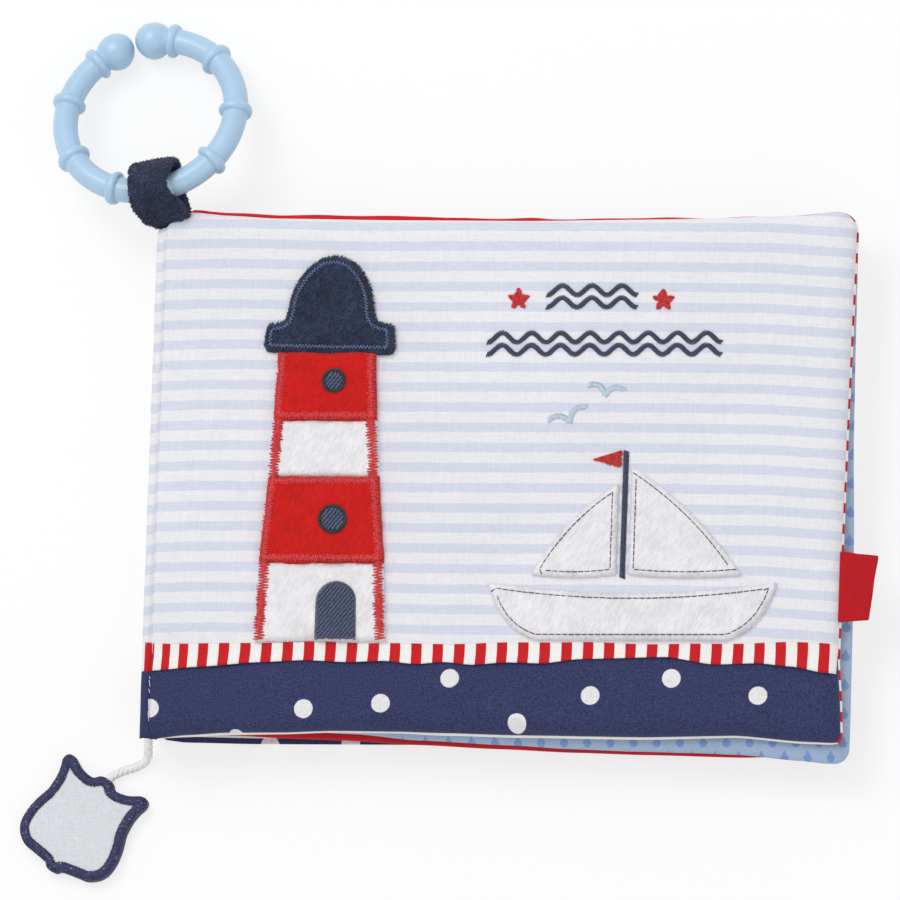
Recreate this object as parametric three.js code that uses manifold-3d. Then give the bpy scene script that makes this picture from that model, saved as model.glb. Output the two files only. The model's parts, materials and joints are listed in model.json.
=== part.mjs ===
// A soft baby photo album: two padded covers on a padded spine, two padded leaves with clear
// photo pockets, a sewn-on lighthouse and sailing boat, a woven edge tab, a plush hanging loop
// with a plastic ring, and a badge on a short braided cord.
// Millimetres, +Z up. The album lies closed on its back cover, the spine at -X, and the origin
// is the middle of the back cover's underside.

import * as THREE from 'three';
import { mergeVertices } from 'three/addons/utils/BufferGeometryUtils.js';
import Module from 'manifold-3d';

const wasm = await Module();
wasm.setup();

// Driving dimensions of the album
const albumLength = 200;
const coverThickness = 5;
const leafThickness = 4;
const spineThickness = 3;
const spineRound = 2;

// Fabric, film and the clearances between the layers
const fabricThickness = 0.7;
const filmThickness = 0.25;
const layerGap = 0.1;
const runningGap = 0.3;
const overrun = 5;

// Padded edges: how far the edge roll reaches in, and where the seam lies from the inner face
const coverRoll = 6.5;
const leafRoll = 5;
const coverSeamHeight = 1.5;

// Stack of the closed album, from the table up
const pageGap = 2 * (filmThickness + layerGap) + runningGap;
const backTop = coverThickness;
const lowerLeafBottom = backTop + pageGap;
const lowerLeafTop = lowerLeafBottom + leafThickness;
const upperLeafBottom = lowerLeafTop + pageGap;
const upperLeafTop = upperLeafBottom + leafThickness;
const frontBottom = upperLeafTop + pageGap;
const frontTop = frontBottom + coverThickness;
const frontSeam = frontBottom + coverSeamHeight;

// Outer edges of the album in plan
const spineOuter = -albumLength / 2;
const spineInner = spineOuter + spineThickness;
const coverLeft = spineInner + runningGap;
const foreEdge = albumLength / 2;
const frontHead = 76;
const frontTail = -75.2;
const backHead = 74.2;
const backTail = -74.2;
const spineTail = -73.4;

// The head corner at the spine is cut off on a slant, to let the hanging loop out
const cornerCutLevel = 69.8;
const cornerCutSlope = 32.1;
const liningCornerInset = 1;
const leafCornerInset = 4.5;

// Bands of the cover cloth
const ribbonTop = -47.1;
const ribbonWidth = 5.8;
const ribbonWave = 0.9;
const ribbonWaveCount = 6;
const bandTop = -50;

// How far a pad's fore edge draws in
const foreDrawIn = 0.2;

// How far the front lining stands proud of the cover: fore edge, tail, head
const liningProudFore = 0.4;
const liningProudTail = 0.5;
const liningProudHead = 1.3;

// How far the leaves and their bindings stay in from the album's outer edges
const leafSpineMargin = 7.3;
const upperLeafForeMargin = 0.8;
const lowerLeafForeMargin = 0.4;
const bindingMargin = 3.4;

// Outlines of the pads: corner radii, drawn-in long sides, and a low fore corner on the leaves
const frontOutline = {
  left: coverLeft,
  right: foreEdge,
  bottom: frontTail,
  top: frontHead,
  foreRadius: 5.6,
  spineRadius: 1.2,
  drawIn: 1.6,
  roll: coverRoll,
};
const frontLiningOutline = {
  ...frontOutline,
  right: foreEdge + liningProudFore,
  bottom: frontTail - liningProudTail,
  top: frontHead + liningProudHead,
};
const backOutline = {
  ...frontOutline,
  bottom: backTail,
  top: backHead,
  drawIn: 0.8,
};
const leafLeft = spineOuter + leafSpineMargin;
const upperLeafOutline = {
  left: leafLeft,
  right: foreEdge - upperLeafForeMargin,
  bottom: -74.4,
  top: 73.6,
  foreRadius: 4,
  spineRadius: 1.2,
  drawIn: 0.6,
  cornerRun: 3,
  cornerDrop: 5.2,
  roll: leafRoll,
};
const lowerLeafOutline = {
  ...upperLeafOutline,
  right: foreEdge - lowerLeafForeMargin,
  bottom: -72.6,
  top: 73.6,
  cornerRun: 0,
  cornerDrop: 3.4,
};

// Leaf binding at the spine
const bindingThickness = 0.4;
const bindingLeft = spineOuter + bindingMargin;
const bindingHalfHeight = 69.5;

// Photo pockets for 10 x 15 cm prints
const pocketLength = 156;
const pocketHeight = 106;
const pocketRadius = 3;
const pocketNotchRadius = 9;
const pocketLeft = -76;

// Lighthouse on the front cover: its middle, its levels above the album's middle, its widths
const lighthouseX = -49.8;
const blockLevels = [-46.8, -24.2, 0, 16.5, 35.7];
const blockHalfWidths = [18.2, 17.5, 15.7, 14.7, 14.1];
const blockThickness = 1.5;
const blockGap = 0.15;
const blockBevel = 0.35;
const brimHalfWidth = 18.4;
const brimHeight = 8.2;
const brimRadius = 2.2;
const domeHalfWidth = 12.4;
const domeTopLevel = 63;
const domeThickness = 1.5;
const domeBevel = 0.6;
const windowRadii = [3.9, 3.2];
const windowCentres = [[-46.8, -12], [-47.8, 27.5]];
const windowThickness = 0.7;
const doorX = -45.4;
const doorHalfWidth = 5.8;
const doorHeight = 17;
const doorSillLift = 0.5;

// Sailing boat on the front cover
const boatX = 39;
const hullWaterline = -46.3;
const hullHeight = 16.5;
const hullKeelHalfLength = 27;
const hullDeckHalfLength = 41;
const hullSheer = 3.2;
const sailFoot = -27.6;
const mastHeight = 36.5;
const mastWidth = 1.8;
const mastThickness = 1.2;
const mastOffset = -3;
const sailGap = 0.9;
const mainsailLength = 32;
const mainsailHeight = 31;
const jibLength = 24;
const jibHeight = 26;
const sailBelly = 3.4;
const boatThickness = 1.5;
const boatBevel = 0.6;
const pennantLength = 9.5;
const pennantHeight = 5.4;
const pennantThickness = 1;

// Two five-pointed stars
const starRadius = 3.5;
const starWaistShare = 0.5;
const starThickness = 0.8;
const starCentres = [[3.8, 51], [45.1, 50.7]];

// Woven tab folded over the fore edge
const tabHeight = 18.9;
const tabReach = 8.1;
const tabThickness = 0.8;
const tabCentreLevel = -31;

// Plastic hanging ring: its tube, ribs and ball ends, and how it leans from the table
const ringRadius = 24.75;
const ringTubeRadius = 3.5;
const ringCollarRadius = 4.8;
const ringCollarLength = 3;
const ringCollarFlatShare = 0.8;
const ringCollarFallShare = 0.3;
const ringBallRadius = 5.3;
const ringEndAngles = [120.3, 454.3];
const ringCollarAngles = [134.5, 169, 212.6, 252, 287, 322, 361.7, 406.2, 440.5];
const ringTilt = 20.2;
const ringRiseDirection = -77;
const ringOutset = 4.8;
const ringRise = 35.45;
const ringCentreX = spineOuter - ringOutset;
const ringCentreY = cornerCutLevel + ringRise;
const ringSides = 12;
const ringStep = 10;

// Plush loop: the eye round the ring, and the tail under it that is sewn to the back cover
const loopAngle = 280;
const loopWidth = 9.6;
const loopBoreRadius = 5.4;
const loopWall = 1.3;
const loopSides = 24;
const loopTailStart = 4.6;
const loopTailWidth = 6.8;
const loopTailBottom = 0.8;
const loopTailStep = 4.4;
const loopTailEnd = 11.6;
const loopTailTop = 17;

// Braided cord: its route, chosen by hand, from the back cover's tail corner at the spine
const cordDiameter = 2.7;
const cordSides = 8;
const cordSteps = 14;
const cordRoute = [
  [0.5, -1.0, 2.0],
  [0.1, -2.2, 1.9],
  [-1.2, -3.6, 1.7],
  [-4.7, -5.2, 1.6],
  [-8.4, -6.6, 1.7],
  [-11.4, -8.4, 2.1],
  [-13.6, -11.3, 2.2],
  [-15.6, -14.8, 2.2],
  [-17.6, -18.2, 2.2],
  [-19.7, -21.8, 2.2],
].map(([x, y, z]) => [spineOuter + x, backTail + y, z]);

// Shield badge on the cord
const badgeOutset = 20.1;
const badgeDrop = 21.4;
const badgeX = spineOuter - badgeOutset;
const badgeY = backTail - badgeDrop;
const badgeLean = -30;
const badgeThickness = 4.2;
const badgeBackThickness = 2.15;
const badgeSteps = 52;
const cordChannelGap = 0.1;

// Right half of the shield's outline, from its top boss down to its tip
const shieldHalf = [
  [0, 15.7],
  [2.0, 15.3],
  [3.9, 13.8],
  [8.0, 14.4],
  [11.7, 16.3],
  [13.7, 16.0],
  [14.3, 14.3],
  [13.6, 12.0],
  [13.1, 8.6],
  [13.4, 4.3],
  [14.6, 0.6],
  [15.4, -3.7],
  [15.1, -8],
  [13.4, -10.8],
  [10.8, -12.6],
  [8, -13.1],
  [2.9, -14],
  [1.7, -15.1],
  [0, -15.4],
];

// Right half of the badge's light face, inside its border
const faceHalf = [
  [0, 13.0],
  [1.2, 12.6],
  [2.8, 11.1],
  [7.6, 11.6],
  [10.2, 12.9],
  [11.2, 12.4],
  [10.8, 10.6],
  [10.4, 8.2],
  [10.7, 4.0],
  [11.9, 0],
  [12.7, -3.9],
  [12.4, -7.3],
  [11.3, -9.1],
  [9.8, -10.0],
  [7.4, -10.4],
  [2.6, -11.3],
  [1.0, -12.2],
  [0, -12.6],
];
const faceShare = 0.99;

// Fineness of the padded outlines
const outerRollSteps = 3;
const innerRollSteps = 2;
const cornerSteps = 3;
const longSideSteps = 7;
const shortSideSteps = 5;
const leastRadius = 0.25;

const colours = {
  stripeCotton: 0xdfe3f0,
  ribbonCotton: 0xd8545a,
  navyCotton: 0x343a66,
  liningCotton: 0xe28a8e,
  dropCotton: 0xa9c1df,
  redCotton: 0xc82028,
  backLining: 0xdfe6f2,
  wadding: 0xf4f3ef,
  film: 0xeaf2f6,
  navyPlush: 0x2e3a5a,
  redPlush: 0xcc1f1f,
  whitePlush: 0xf0eeec,
  slateThread: 0x4a5b7f,
  navyThread: 0x333c5e,
  redThread: 0xc9242a,
  wovenTab: 0xc4202a,
  ringPlastic: 0xa3c6e4,
  cord: 0xedeaea,
  badgeSatin: 0xcdd2dc,
  badgeBorder: 0x2f3563,
};

const radians = THREE.MathUtils.degToRad;
const album = new THREE.Group();

// Adds one named piece with its own material.
function addPiece(name, geometry, colour, roughness = 0.9) {
  const material = new THREE.MeshStandardMaterial({ color: colour, roughness, metalness: 0 });
  if (colour === colours.film) {
    material.transparent = true;
    material.opacity = 0.35;
  }
  const mesh = new THREE.Mesh(geometry, material);
  mesh.name = name;
  album.add(mesh);
  return mesh;
}

// Solids for cutting and joining
function toSolid(geometry) {
  const bare = geometry.clone();
  bare.deleteAttribute('normal');
  bare.deleteAttribute('uv');
  const merged = mergeVertices(bare);
  return new wasm.Manifold(new wasm.Mesh({
    numProp: 3,
    vertProperties: new Float32Array(merged.attributes.position.array),
    triVerts: new Uint32Array(merged.index.array),
  }));
}

function toGeometry(solid) {
  const mesh = solid.getMesh();
  const geometry = new THREE.BufferGeometry();
  geometry.setAttribute('position', new THREE.BufferAttribute(mesh.vertProperties, 3));
  geometry.setIndex(new THREE.BufferAttribute(mesh.triVerts, 1));
  geometry.computeVertexNormals();
  return geometry;
}

// An upright prism of a plan shape between two heights.
function prism(shape, low, high) {
  const geometry = new THREE.ExtrudeGeometry(shape, { depth: high - low, bevelEnabled: false });
  geometry.translate(0, 0, low);
  return geometry;
}

function rectangleShape(left, bottom, right, top) {
  const shape = new THREE.Shape();
  shape.moveTo(left, bottom);
  shape.lineTo(right, bottom);
  shape.lineTo(right, top);
  shape.lineTo(left, top);
  return shape;
}

function roundedShape(left, bottom, right, top, radius) {
  const shape = new THREE.Shape();
  shape.moveTo(left + radius, bottom);
  shape.lineTo(right - radius, bottom);
  shape.absarc(right - radius, bottom + radius, radius, -Math.PI / 2, 0, false);
  shape.lineTo(right, top - radius);
  shape.absarc(right - radius, top - radius, radius, 0, Math.PI / 2, false);
  shape.lineTo(left + radius, top);
  shape.absarc(left + radius, top - radius, radius, Math.PI / 2, Math.PI, false);
  shape.lineTo(left, bottom + radius);
  shape.absarc(left + radius, bottom + radius, radius, Math.PI, Math.PI * 1.5, false);
  return shape;
}

// The plan beyond the slanted head corner, from a distance outside the cut's line.
function beyondCorner(distance, low, high) {
  const along = new THREE.Vector2(1, 0).rotateAround(new THREE.Vector2(), radians(cornerCutSlope));
  const across = new THREE.Vector2(-along.y, along.x);
  const foot = new THREE.Vector2(spineOuter, cornerCutLevel).addScaledVector(across, distance);
  const corners = [
    foot.clone().addScaledVector(along, -spineThickness * overrun),
    foot.clone().addScaledVector(along, spineThickness * overrun),
    foot.clone().addScaledVector(along, spineThickness * overrun)
      .addScaledVector(across, spineThickness * overrun),
    foot.clone().addScaledVector(along, -spineThickness * overrun)
      .addScaledVector(across, spineThickness * overrun),
  ];
  return toSolid(prism(new THREE.Shape(corners), low, high));
}

// Plan outline of a pad, drawn in by a given inset. Every inset gives as many points.
function padOutline(pad, inset) {
  const left = pad.left + inset;
  const right = pad.right - inset;
  const bottom = pad.bottom + inset;
  const top = pad.top - inset;
  const foreRadius = Math.max(pad.foreRadius - inset, leastRadius);
  const spineRadius = Math.max(pad.spineRadius - inset, leastRadius);
  const corners = [
    { x: left + spineRadius, y: bottom + spineRadius, radius: spineRadius, start: Math.PI },
    { x: right - foreRadius, y: bottom + foreRadius, radius: foreRadius, start: -Math.PI / 2 },
    { x: right - foreRadius, y: top - foreRadius, radius: foreRadius, start: 0 },
    { x: left + spineRadius, y: top - spineRadius, radius: spineRadius, start: Math.PI / 2 },
  ];
  const inward = [[0, 1], [-1, 0], [0, -1], [0, 0]];
  const points = [];
  corners.forEach((corner, side) => {
    for (let k = 0; k <= cornerSteps; k += 1) {
      const angle = corner.start + (k / cornerSteps) * Math.PI / 2;
      const x = corner.x + corner.radius * Math.cos(angle);
      const y = corner.y + corner.radius * Math.sin(angle);
      points.push(new THREE.Vector2(x, y));
    }
    const from = points[points.length - 1];
    const next = corners[(side + 1) % corners.length];
    const nextAngle = next.start;
    const to = new THREE.Vector2(
      next.x + next.radius * Math.cos(nextAngle),
      next.y + next.radius * Math.sin(nextAngle),
    );
    const steps = side % 2 === 0 ? longSideSteps : shortSideSteps;
    for (let k = 1; k < steps; k += 1) {
      const share = k / steps;
      const point = from.clone().lerp(to, share);
      const draw = (side % 2 === 0 ? pad.drawIn : foreDrawIn) * Math.sin(share * Math.PI);
      points.push(point.add(new THREE.Vector2(...inward[side]).multiplyScalar(draw)));
    }
  });
  const width = pad.right - pad.left;
  const height = pad.top - pad.bottom;
  for (const point of points) {
    const weight = ((point.x - pad.left) / width) * ((pad.top - point.y) / height);
    point.x += (pad.cornerRun ?? 0) * weight;
    point.y -= (pad.cornerDrop ?? 0) * weight;
  }
  return points;
}

// A closed solid through rings of a pad's outline, each [inset, height], from its upper middle
// over its edge to its lower middle.
function ringSolid(pad, rings) {
  const outlines = rings.map(([inset]) => padOutline(pad, inset));
  const count = outlines[0].length;
  const positions = [];
  const index = [];
  outlines.forEach((outline, ring) => {
    for (const point of outline) positions.push(point.x, point.y, rings[ring][1]);
  });
  for (let ring = 0; ring + 1 < rings.length; ring += 1) {
    for (let k = 0; k < count; k += 1) {
      const next = (k + 1) % count;
      const a = ring * count + k;
      const b = ring * count + next;
      const c = a + count;
      const d = b + count;
      index.push(a, c, d, a, d, b);
    }
  }
  const middle = new THREE.Vector2();
  for (const point of outlines[0]) middle.addScaledVector(point, 1 / count);
  const upper = positions.length / 3;
  positions.push(middle.x, middle.y, rings[0][1]);
  positions.push(middle.x, middle.y, rings[rings.length - 1][1]);
  const last = (rings.length - 1) * count;
  for (let k = 0; k < count; k += 1) {
    const next = (k + 1) % count;
    index.push(upper, k, next);
    index.push(upper + 1, last + next, last + k);
  }
  const geometry = new THREE.BufferGeometry();
  geometry.setAttribute('position', new THREE.Float32BufferAttribute(positions, 3));
  geometry.setIndex(index);
  geometry.computeVertexNormals();
  return geometry;
}

// Rings of a rolled edge, from the flat face out to the seam.
function rollRings(pad, inset, seam, face, steps) {
  const rings = [];
  for (let k = 0; k <= steps; k += 1) {
    const angle = (k / steps) * Math.PI / 2;
    const reach = inset + pad.roll * (1 - Math.sin(angle));
    rings.push([reach, seam + (face - seam) * Math.cos(angle)]);
  }
  return rings;
}

// The cloth over one face of a pad: a shallow dish from the flat face down to the side seam.
function clothDish(pad, seam, face) {
  const upward = Math.sign(face - seam);
  const rim = seam + upward * layerGap / 2;
  const within = face - upward * fabricThickness;
  const outer = rollRings(pad, 0, rim, face, outerRollSteps);
  const inner = rollRings(pad, fabricThickness, rim, within, innerRollSteps);
  const rings = [...outer, ...inner.reverse()];
  if (upward < 0) rings.reverse();
  return ringSolid(pad, rings);
}

// The wadding between a pad's two cloths.
function waddingCore(pad, bottom, seam, top) {
  const inset = fabricThickness + layerGap;
  const upper = rollRings(pad, inset, seam, top - inset, innerRollSteps);
  const lower = rollRings(pad, inset, seam, bottom + inset, innerRollSteps).reverse().slice(1);
  return ringSolid(pad, [...upper, ...lower]);
}

// A band of the plan between two levels, as a tall cutting solid.
function levelBand(low, high) {
  const shape = rectangleShape(spineOuter - overrun, low, foreEdge + overrun, high);
  return toSolid(prism(shape, -overrun, frontTop + overrun));
}

// The ribbon's plan: straight along its top, wavy along its free lower edge.
function ribbonShape(left, right) {
  const shape = new THREE.Shape();
  shape.moveTo(right, ribbonTop);
  shape.lineTo(left, ribbonTop);
  const steps = ribbonWaveCount * 6;
  for (let k = 0; k <= steps; k += 1) {
    const share = k / steps;
    const wave = ribbonWave * Math.sin(share * ribbonWaveCount * 2 * Math.PI);
    shape.lineTo(left + (right - left) * share, ribbonTop - ribbonWidth + wave);
  }
  return shape;
}

// Photo pocket: a clear sheet with a thumb notch on its open side, towards the fore edge.
function pocketSheet(low) {
  const left = pocketLeft;
  const right = left + pocketLength;
  const bottom = -pocketHeight / 2;
  const top = pocketHeight / 2;
  const shape = new THREE.Shape();
  shape.moveTo(left + pocketRadius, bottom);
  shape.lineTo(right - pocketRadius, bottom);
  shape.absarc(right - pocketRadius, bottom + pocketRadius, pocketRadius, -Math.PI / 2, 0, false);
  shape.lineTo(right, -pocketNotchRadius);
  shape.absarc(right, 0, pocketNotchRadius, -Math.PI / 2, -Math.PI * 1.5, true);
  shape.lineTo(right, top - pocketRadius);
  shape.absarc(right - pocketRadius, top - pocketRadius, pocketRadius, 0, Math.PI / 2, false);
  shape.lineTo(left + pocketRadius, top);
  shape.absarc(left + pocketRadius, top - pocketRadius, pocketRadius, Math.PI / 2, Math.PI, false);
  shape.lineTo(left, bottom + pocketRadius);
  shape.absarc(left + pocketRadius, bottom + pocketRadius, pocketRadius,
    Math.PI, Math.PI * 1.5, false);
  const geometry = new THREE.ExtrudeGeometry(shape, {
    depth: filmThickness, bevelEnabled: false, curveSegments: 5,
  });
  geometry.translate(0, 0, low);
  return geometry;
}

// Film on the upper side of a face at a height, or hanging under it.
const filmAbove = (face) => pocketSheet(face + layerGap);
const filmBelow = (face) => pocketSheet(face - layerGap - filmThickness);

const cutCorner = beyondCorner(0, -overrun, frontTop + overrun);
const liningCut = beyondCorner(-liningCornerInset, -overrun, frontTop + overrun);
const leafCut = beyondCorner(-leafCornerInset, -overrun, frontTop + overrun);
const trimmed = (geometry, cut = cutCorner) => toSolid(geometry).subtract(cut);
const panelBand = levelBand(ribbonTop, frontHead + overrun);
const ribbonBand = levelBand(ribbonTop - ribbonWidth + layerGap, ribbonTop - layerGap);
const dottedBand = levelBand(frontTail - overrun, ribbonTop - ribbonWidth);

// Cuts a cover's cloth into its striped panel, striped ribbon and dotted band.
function addBands(name, cloth) {
  addPiece(`${name}_striped_panel`, toGeometry(cloth.intersect(panelBand)), colours.stripeCotton);
  addPiece(`${name}_striped_ribbon`, toGeometry(cloth.intersect(ribbonBand)), colours.ribbonCotton);
  addPiece(`${name}_dotted_band`, toGeometry(cloth.intersect(dottedBand)), colours.navyCotton);
}

// Front cover, its ribbon lying loose over the joint of the panel and the band
function buildFrontCover() {
  const cloth = trimmed(clothDish(frontOutline, frontSeam, frontTop));
  const aboveJoint = levelBand(bandTop, frontHead + overrun);
  const belowJoint = levelBand(frontTail - overrun, bandTop - layerGap);
  addPiece('front_striped_panel', toGeometry(cloth.intersect(aboveJoint)), colours.stripeCotton);
  addPiece('front_dotted_band', toGeometry(cloth.intersect(belowJoint)), colours.navyCotton);
  const wadding = trimmed(waddingCore(frontOutline, frontBottom, frontSeam, frontTop), liningCut);
  addPiece('front_wadding', toGeometry(wadding), colours.wadding);
  const lining = trimmed(clothDish(frontLiningOutline, frontSeam, frontBottom), liningCut);
  addPiece('front_lining', toGeometry(lining), colours.liningCotton);
  addPiece('front_photo_pocket', filmBelow(frontBottom), colours.film, 0.1);

  const lift = layerGap + fabricThickness;
  const foot = frontSeam + layerGap;
  const low = rollRings(frontOutline, -layerGap, foot, frontTop + layerGap, outerRollSteps);
  const high = rollRings(frontOutline, -lift, foot, frontTop + lift, outerRollSteps);
  const shell = toSolid(ringSolid(frontOutline, [...high, ...low.reverse()]));
  const plan = ribbonShape(coverLeft, foreEdge);
  const ribbon = shell.intersect(toSolid(prism(plan, frontSeam, frontTop + overrun)));
  addPiece('front_striped_ribbon', toGeometry(ribbon), colours.ribbonCotton);
}

// Back cover
function buildBackCover() {
  const seam = backTop - coverSeamHeight;
  addBands('back', trimmed(clothDish(backOutline, seam, 0)));
  const wadding = trimmed(waddingCore(backOutline, 0, seam, backTop));
  addPiece('back_wadding', toGeometry(wadding), colours.wadding);
  const lining = trimmed(clothDish(backOutline, seam, backTop));
  addPiece('back_lining', toGeometry(lining), colours.backLining);
  addPiece('back_photo_pocket', filmAbove(backTop), colours.film, 0.1);
}

// A leaf: two cloths with a flat binding to the spine, wadding and a pocket on each side
function buildLeaf(name, pad, bottom, top, colour) {
  const seam = (bottom + top) / 2;
  const bindingRight = pad.left + fabricThickness / 2;
  const binding = rectangleShape(bindingLeft, -bindingHalfHeight, bindingRight, bindingHalfHeight);
  const upperBinding = prism(binding, seam + layerGap / 2, seam + bindingThickness);
  const lowerBinding = prism(binding, seam - bindingThickness, seam - layerGap / 2);
  const upper = trimmed(clothDish(pad, seam, top), leafCut).add(toSolid(upperBinding));
  const lower = trimmed(clothDish(pad, seam, bottom), leafCut).add(toSolid(lowerBinding));
  const wadding = trimmed(waddingCore(pad, bottom, seam, top), leafCut);
  addPiece(`${name}_front_cloth`, toGeometry(upper), colour);
  addPiece(`${name}_back_cloth`, toGeometry(lower), colour);
  addPiece(`${name}_wadding`, toGeometry(wadding), colours.wadding);
  addPiece(`${name}_front_pocket`, filmAbove(top), colours.film, 0.1);
  addPiece(`${name}_back_pocket`, filmBelow(bottom), colours.film, 0.1);
}

// Spine: a cloth wrapped over a wadding strip, closed by a lining towards the pages
function buildSpine() {
  const round = spineOuter + spineRound;
  const cloth = new THREE.Shape();
  cloth.moveTo(spineInner, 0);
  cloth.lineTo(spineInner, fabricThickness);
  cloth.lineTo(round, fabricThickness);
  cloth.lineTo(spineOuter + fabricThickness, spineRound);
  cloth.lineTo(spineOuter + fabricThickness, frontTop - spineRound);
  cloth.lineTo(round, frontTop - fabricThickness);
  cloth.lineTo(spineInner, frontTop - fabricThickness);
  cloth.lineTo(spineInner, frontTop);
  cloth.lineTo(round, frontTop);
  cloth.absarc(round, frontTop - spineRound, spineRound, Math.PI / 2, Math.PI, false);
  cloth.lineTo(spineOuter, spineRound);
  cloth.absarc(round, spineRound, spineRound, Math.PI, Math.PI * 1.5, false);
  const inset = fabricThickness + layerGap;
  const coreRight = spineInner - inset;
  const core = new THREE.Shape();
  core.moveTo(coreRight, inset);
  core.lineTo(round, inset);
  core.lineTo(spineOuter + inset, spineRound);
  core.lineTo(spineOuter + inset, frontTop - spineRound);
  core.lineTo(round, frontTop - inset);
  core.lineTo(coreRight, frontTop - inset);
  const liningLeft = spineInner - fabricThickness;
  const lining = rectangleShape(liningLeft, inset, spineInner, frontTop - inset);
  // Profiles are drawn in X and Z, then stood along Y between the tail and the head.
  const along = (shape) => {
    const geometry = new THREE.ExtrudeGeometry(shape, {
      depth: frontHead - spineTail,
      bevelEnabled: false,
      curveSegments: 4,
    });
    geometry.rotateX(Math.PI / 2);
    geometry.translate(0, frontHead, 0);
    return trimmed(geometry);
  };
  addBands('spine', along(cloth));
  addPiece('spine_wadding', toGeometry(along(core)), colours.wadding);
  addPiece('spine_lining', toGeometry(along(lining)), colours.liningCotton);
}

// A sewn-on piece with softened edges, seated on a level.
function sewnPiece(shape, level, thickness, bevel, curveSegments = 8) {
  const geometry = new THREE.ExtrudeGeometry(shape, {
    depth: thickness - 2 * bevel,
    bevelEnabled: true,
    bevelThickness: bevel,
    bevelSize: bevel,
    bevelOffset: -bevel,
    bevelSegments: 1,
    curveSegments,
  });
  geometry.translate(0, 0, level + layerGap + bevel);
  return geometry;
}

// Lighthouse of four plush blocks, with round windows, a door and a domed lantern
function buildLighthouse() {
  const names = ['lower_white', 'lower_red', 'upper_white', 'upper_red'];
  names.forEach((name, k) => {
    const low = blockLevels[k] + blockGap / 2;
    const high = blockLevels[k + 1] - blockGap / 2;
    const shape = new THREE.Shape();
    shape.moveTo(lighthouseX - blockHalfWidths[k], low);
    shape.lineTo(lighthouseX + blockHalfWidths[k], low);
    shape.lineTo(lighthouseX + blockHalfWidths[k + 1], high);
    shape.lineTo(lighthouseX - blockHalfWidths[k + 1], high);
    const colour = name.endsWith('red') ? colours.redPlush : colours.whitePlush;
    addPiece(`lighthouse_${name}_block`, sewnPiece(shape, frontTop, blockThickness, blockBevel),
      colour);
  });

  const brimLow = blockLevels[4] + blockGap / 2;
  const brimTop = brimLow + brimHeight;
  const shoulder = domeTopLevel - domeHalfWidth;
  const dome = new THREE.Shape();
  dome.moveTo(lighthouseX - brimHalfWidth + brimRadius, brimLow);
  dome.lineTo(lighthouseX + brimHalfWidth - brimRadius, brimLow);
  dome.absarc(lighthouseX + brimHalfWidth - brimRadius, brimLow + brimRadius, brimRadius,
    -Math.PI / 2, 0, false);
  dome.lineTo(lighthouseX + brimHalfWidth - brimRadius / 2, brimTop - brimRadius);
  dome.quadraticCurveTo(lighthouseX + domeHalfWidth + brimRadius, brimTop,
    lighthouseX + domeHalfWidth, brimTop + brimRadius);
  dome.lineTo(lighthouseX + domeHalfWidth, shoulder);
  dome.absarc(lighthouseX, shoulder, domeHalfWidth, 0, Math.PI, false);
  dome.lineTo(lighthouseX - domeHalfWidth, brimTop + brimRadius);
  dome.quadraticCurveTo(lighthouseX - domeHalfWidth - brimRadius, brimTop,
    lighthouseX - brimHalfWidth + brimRadius / 2, brimTop - brimRadius);
  dome.lineTo(lighthouseX - brimHalfWidth, brimLow + brimRadius);
  dome.absarc(lighthouseX - brimHalfWidth + brimRadius, brimLow + brimRadius, brimRadius,
    Math.PI, Math.PI * 1.5, false);
  addPiece('lighthouse_dome', sewnPiece(dome, frontTop, domeThickness, domeBevel),
    colours.navyPlush);

  const windowNames = ['lighthouse_lower_window', 'lighthouse_upper_window'];
  windowNames.forEach((name, k) => {
    const shape = new THREE.Shape();
    shape.absarc(windowCentres[k][0], windowCentres[k][1], windowRadii[k], 0, 2 * Math.PI, false);
    const level = frontTop + layerGap + blockThickness;
    addPiece(name, sewnPiece(shape, level, windowThickness, windowThickness / 4),
      colours.slateThread);
  });

  const sill = blockLevels[0] + blockGap / 2 + blockBevel + doorSillLift;
  const door = new THREE.Shape();
  door.moveTo(doorX - doorHalfWidth, sill);
  door.lineTo(doorX + doorHalfWidth, sill);
  door.lineTo(doorX + doorHalfWidth, sill + doorHeight - doorHalfWidth);
  door.absarc(doorX, sill + doorHeight - doorHalfWidth, doorHalfWidth, 0, Math.PI, false);
  addPiece('lighthouse_door',
    sewnPiece(door, frontTop + layerGap + blockThickness, windowThickness, windowThickness / 4),
    colours.slateThread);
}

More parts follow.
